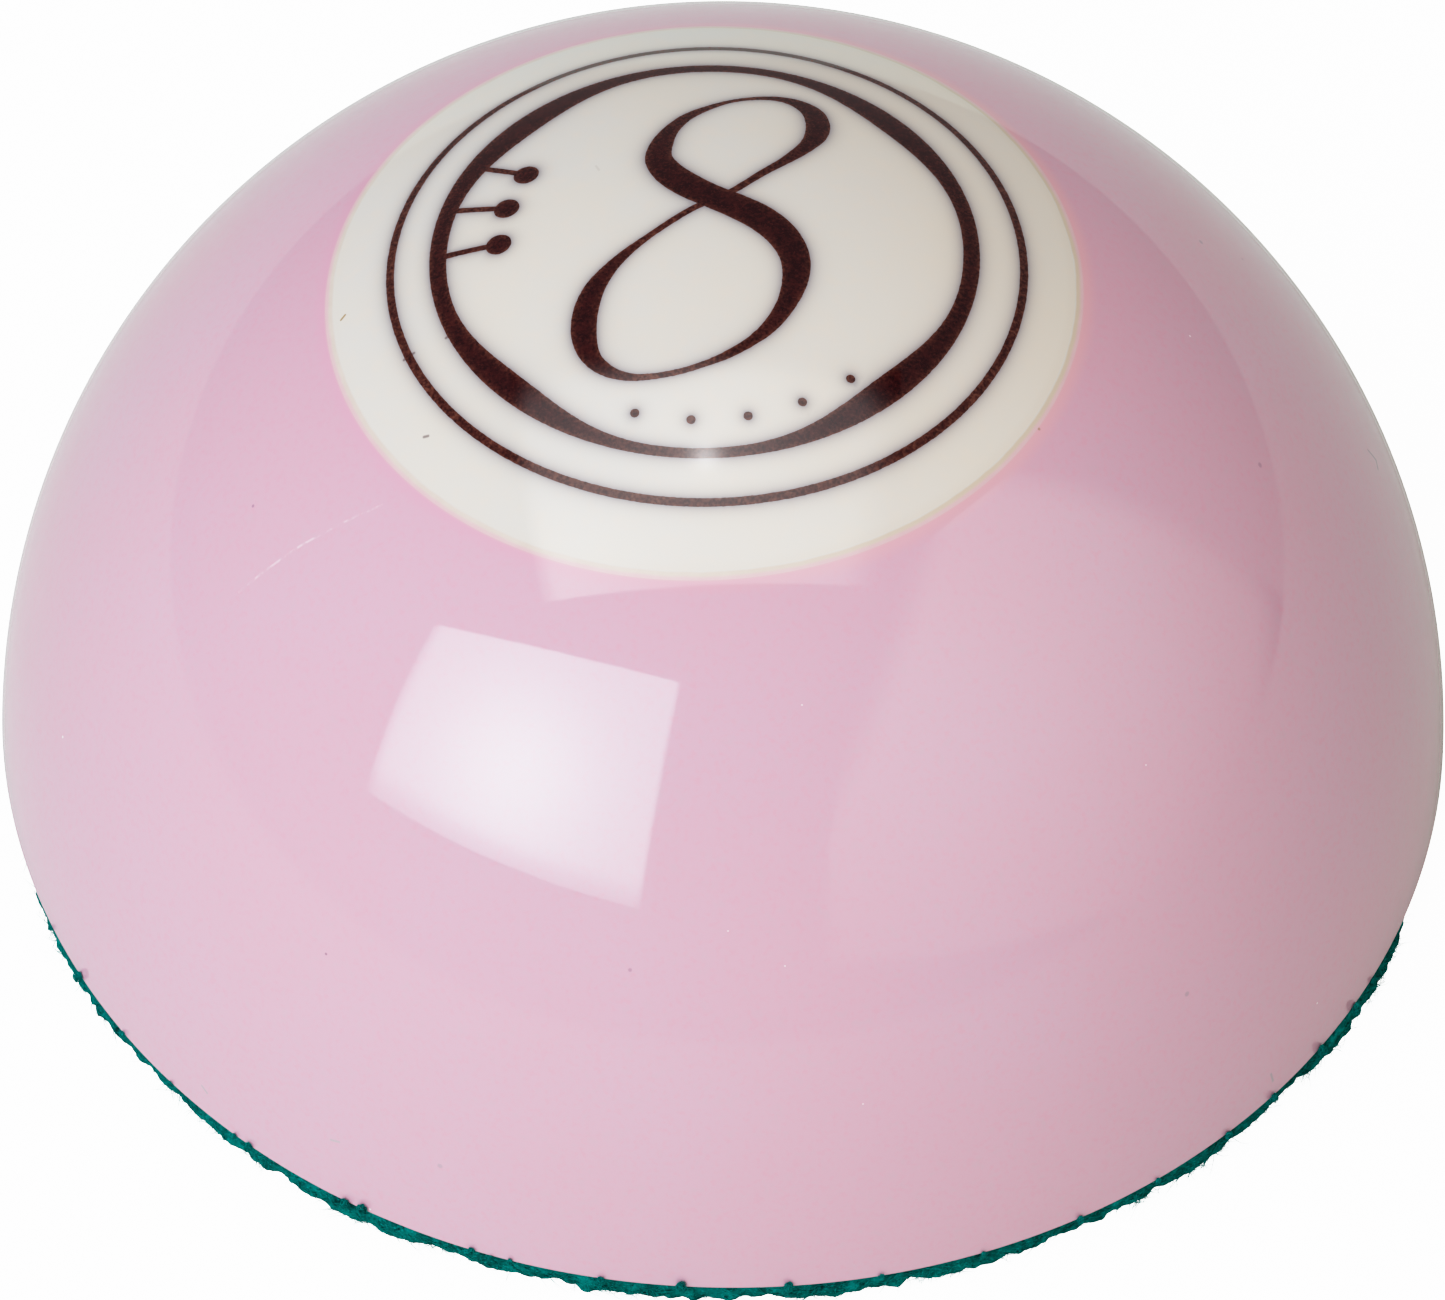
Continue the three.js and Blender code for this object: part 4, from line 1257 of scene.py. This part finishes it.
total = None
for axis, k, colour in ((heading(225, 25), 5, (0.97, 1.115, 1.26)), (heading(0, 90), 3, (0.985, 1.040, 0.860)),
                        (heading(183, 50), 10, (1.20, 0.93, 0.88)), (heading(225, 50), 10, (4.90, 4.88, 5.27)),
                        (heading(200, 12), 10, (1.79, 1.94, 1.76)),
                        (heading(110, 35), 5, (0.12, 0.02, 0.00)), (heading(290, 35), 5, (0.00, 0.01, 0.17))):
    dot = t.nodes.new("ShaderNodeVectorMath"); dot.operation = "DOT_PRODUCT"
    t.links.new(gen, dot.inputs[0]); dot.inputs[1].default_value = axis
    mad = t.nodes.new("ShaderNodeMath"); mad.operation = "MULTIPLY_ADD"
    t.links.new(dot.outputs["Value"], mad.inputs[0]); mad.inputs[1].default_value = k; mad.inputs[2].default_value = -k
    ex = t.nodes.new("ShaderNodeMath"); ex.operation = "EXPONENT"
    t.links.new(mad.outputs[0], ex.inputs[0])
    scl = t.nodes.new("ShaderNodeVectorMath"); scl.operation = "SCALE"
    scl.inputs[0].default_value = colour; t.links.new(ex.outputs[0], scl.inputs["Scale"])
    if total is None:
        total = scl.outputs["Vector"]
    else:
        ad = t.nodes.new("ShaderNodeVectorMath"); ad.operation = "ADD"
        t.links.new(total, ad.inputs[0]); t.links.new(scl.outputs["Vector"], ad.inputs[1])
        total = ad.outputs["Vector"]
b1 = t.nodes.new("ShaderNodeBackground"); t.links.new(total, b1.inputs[0]); b1.inputs[1].default_value = 1.0
b2 = t.nodes.new("ShaderNodeBackground"); b2.inputs[0].default_value = (1, 1, 1, 1); b2.inputs[1].default_value = 6.0
ms = t.nodes.new("ShaderNodeMixShader")
t.links.new(lp.outputs["Is Camera Ray"], ms.inputs[0]); t.links.new(b1.outputs[0], ms.inputs[1])
t.links.new(b2.outputs[0], ms.inputs[2]); t.links.new(ms.outputs[0], wo.inputs[0])

# camera at the fitted place
cam_data = bpy.data.cameras.new("camera")
cam = bpy.data.objects.new("camera", cam_data)
scene.collection.objects.link(cam)
cam_data.sensor_fit = "HORIZONTAL"
cam_data.sensor_width = 36.0
cam_data.lens = F_PX / 1445.0 * 36.0
cam_data.clip_start, cam_data.clip_end = 0.01, 100.0
Z = CAM_Z / np.linalg.norm(CAM_Z)
X = CAM_X - Z * (CAM_X @ Z); X /= np.linalg.norm(X)
Y = np.cross(Z, X)
m = Matrix(((X[0], Y[0], Z[0], 0), (X[1], Y[1], Z[1], 0), (X[2], Y[2], Z[2], 0), (0, 0, 0, 1)))
m.translation = Vector((CAM + CENTRE) * MM)
cam.matrix_world = m
scene.camera = cam

# film response: a soft shoulder, so highlights on the gloss stay below white
vs = scene.view_settings
vs.view_transform = "Standard"
vs.look = "None"
vs.exposure, vs.gamma = 0.0, 1.0
vs.use_curve_mapping = True
cm = vs.curve_mapping
cm.clip_max_x = 1.0; cm.clip_max_y = 1.0
cm.white_level = (6.0, 6.0, 6.0)
cm.black_level = (0.0, 0.0, 0.0)
curve = cm.curves[3]


def response(x):
    x = x ** 1.4
    return (-x * x + x * math.sqrt(x * x + 4)) / 2


xs = [0.0, 0.02, 0.06, 0.12, 0.2, 0.3, 0.42, 0.56, 0.72, 0.92, 1.15, 1.45, 1.8, 2.3, 3.0, 4.0, 5.0, 6.0]
while len(curve.points) > 2:
    curve.points.remove(curve.points[1])
curve.points[0].location = (0.0, 0.0)
curve.points[-1].location = (1.0, response(6.0))
for x in xs[1:-1]:
    curve.points.new(x / 6.0, response(x))
cm.update()
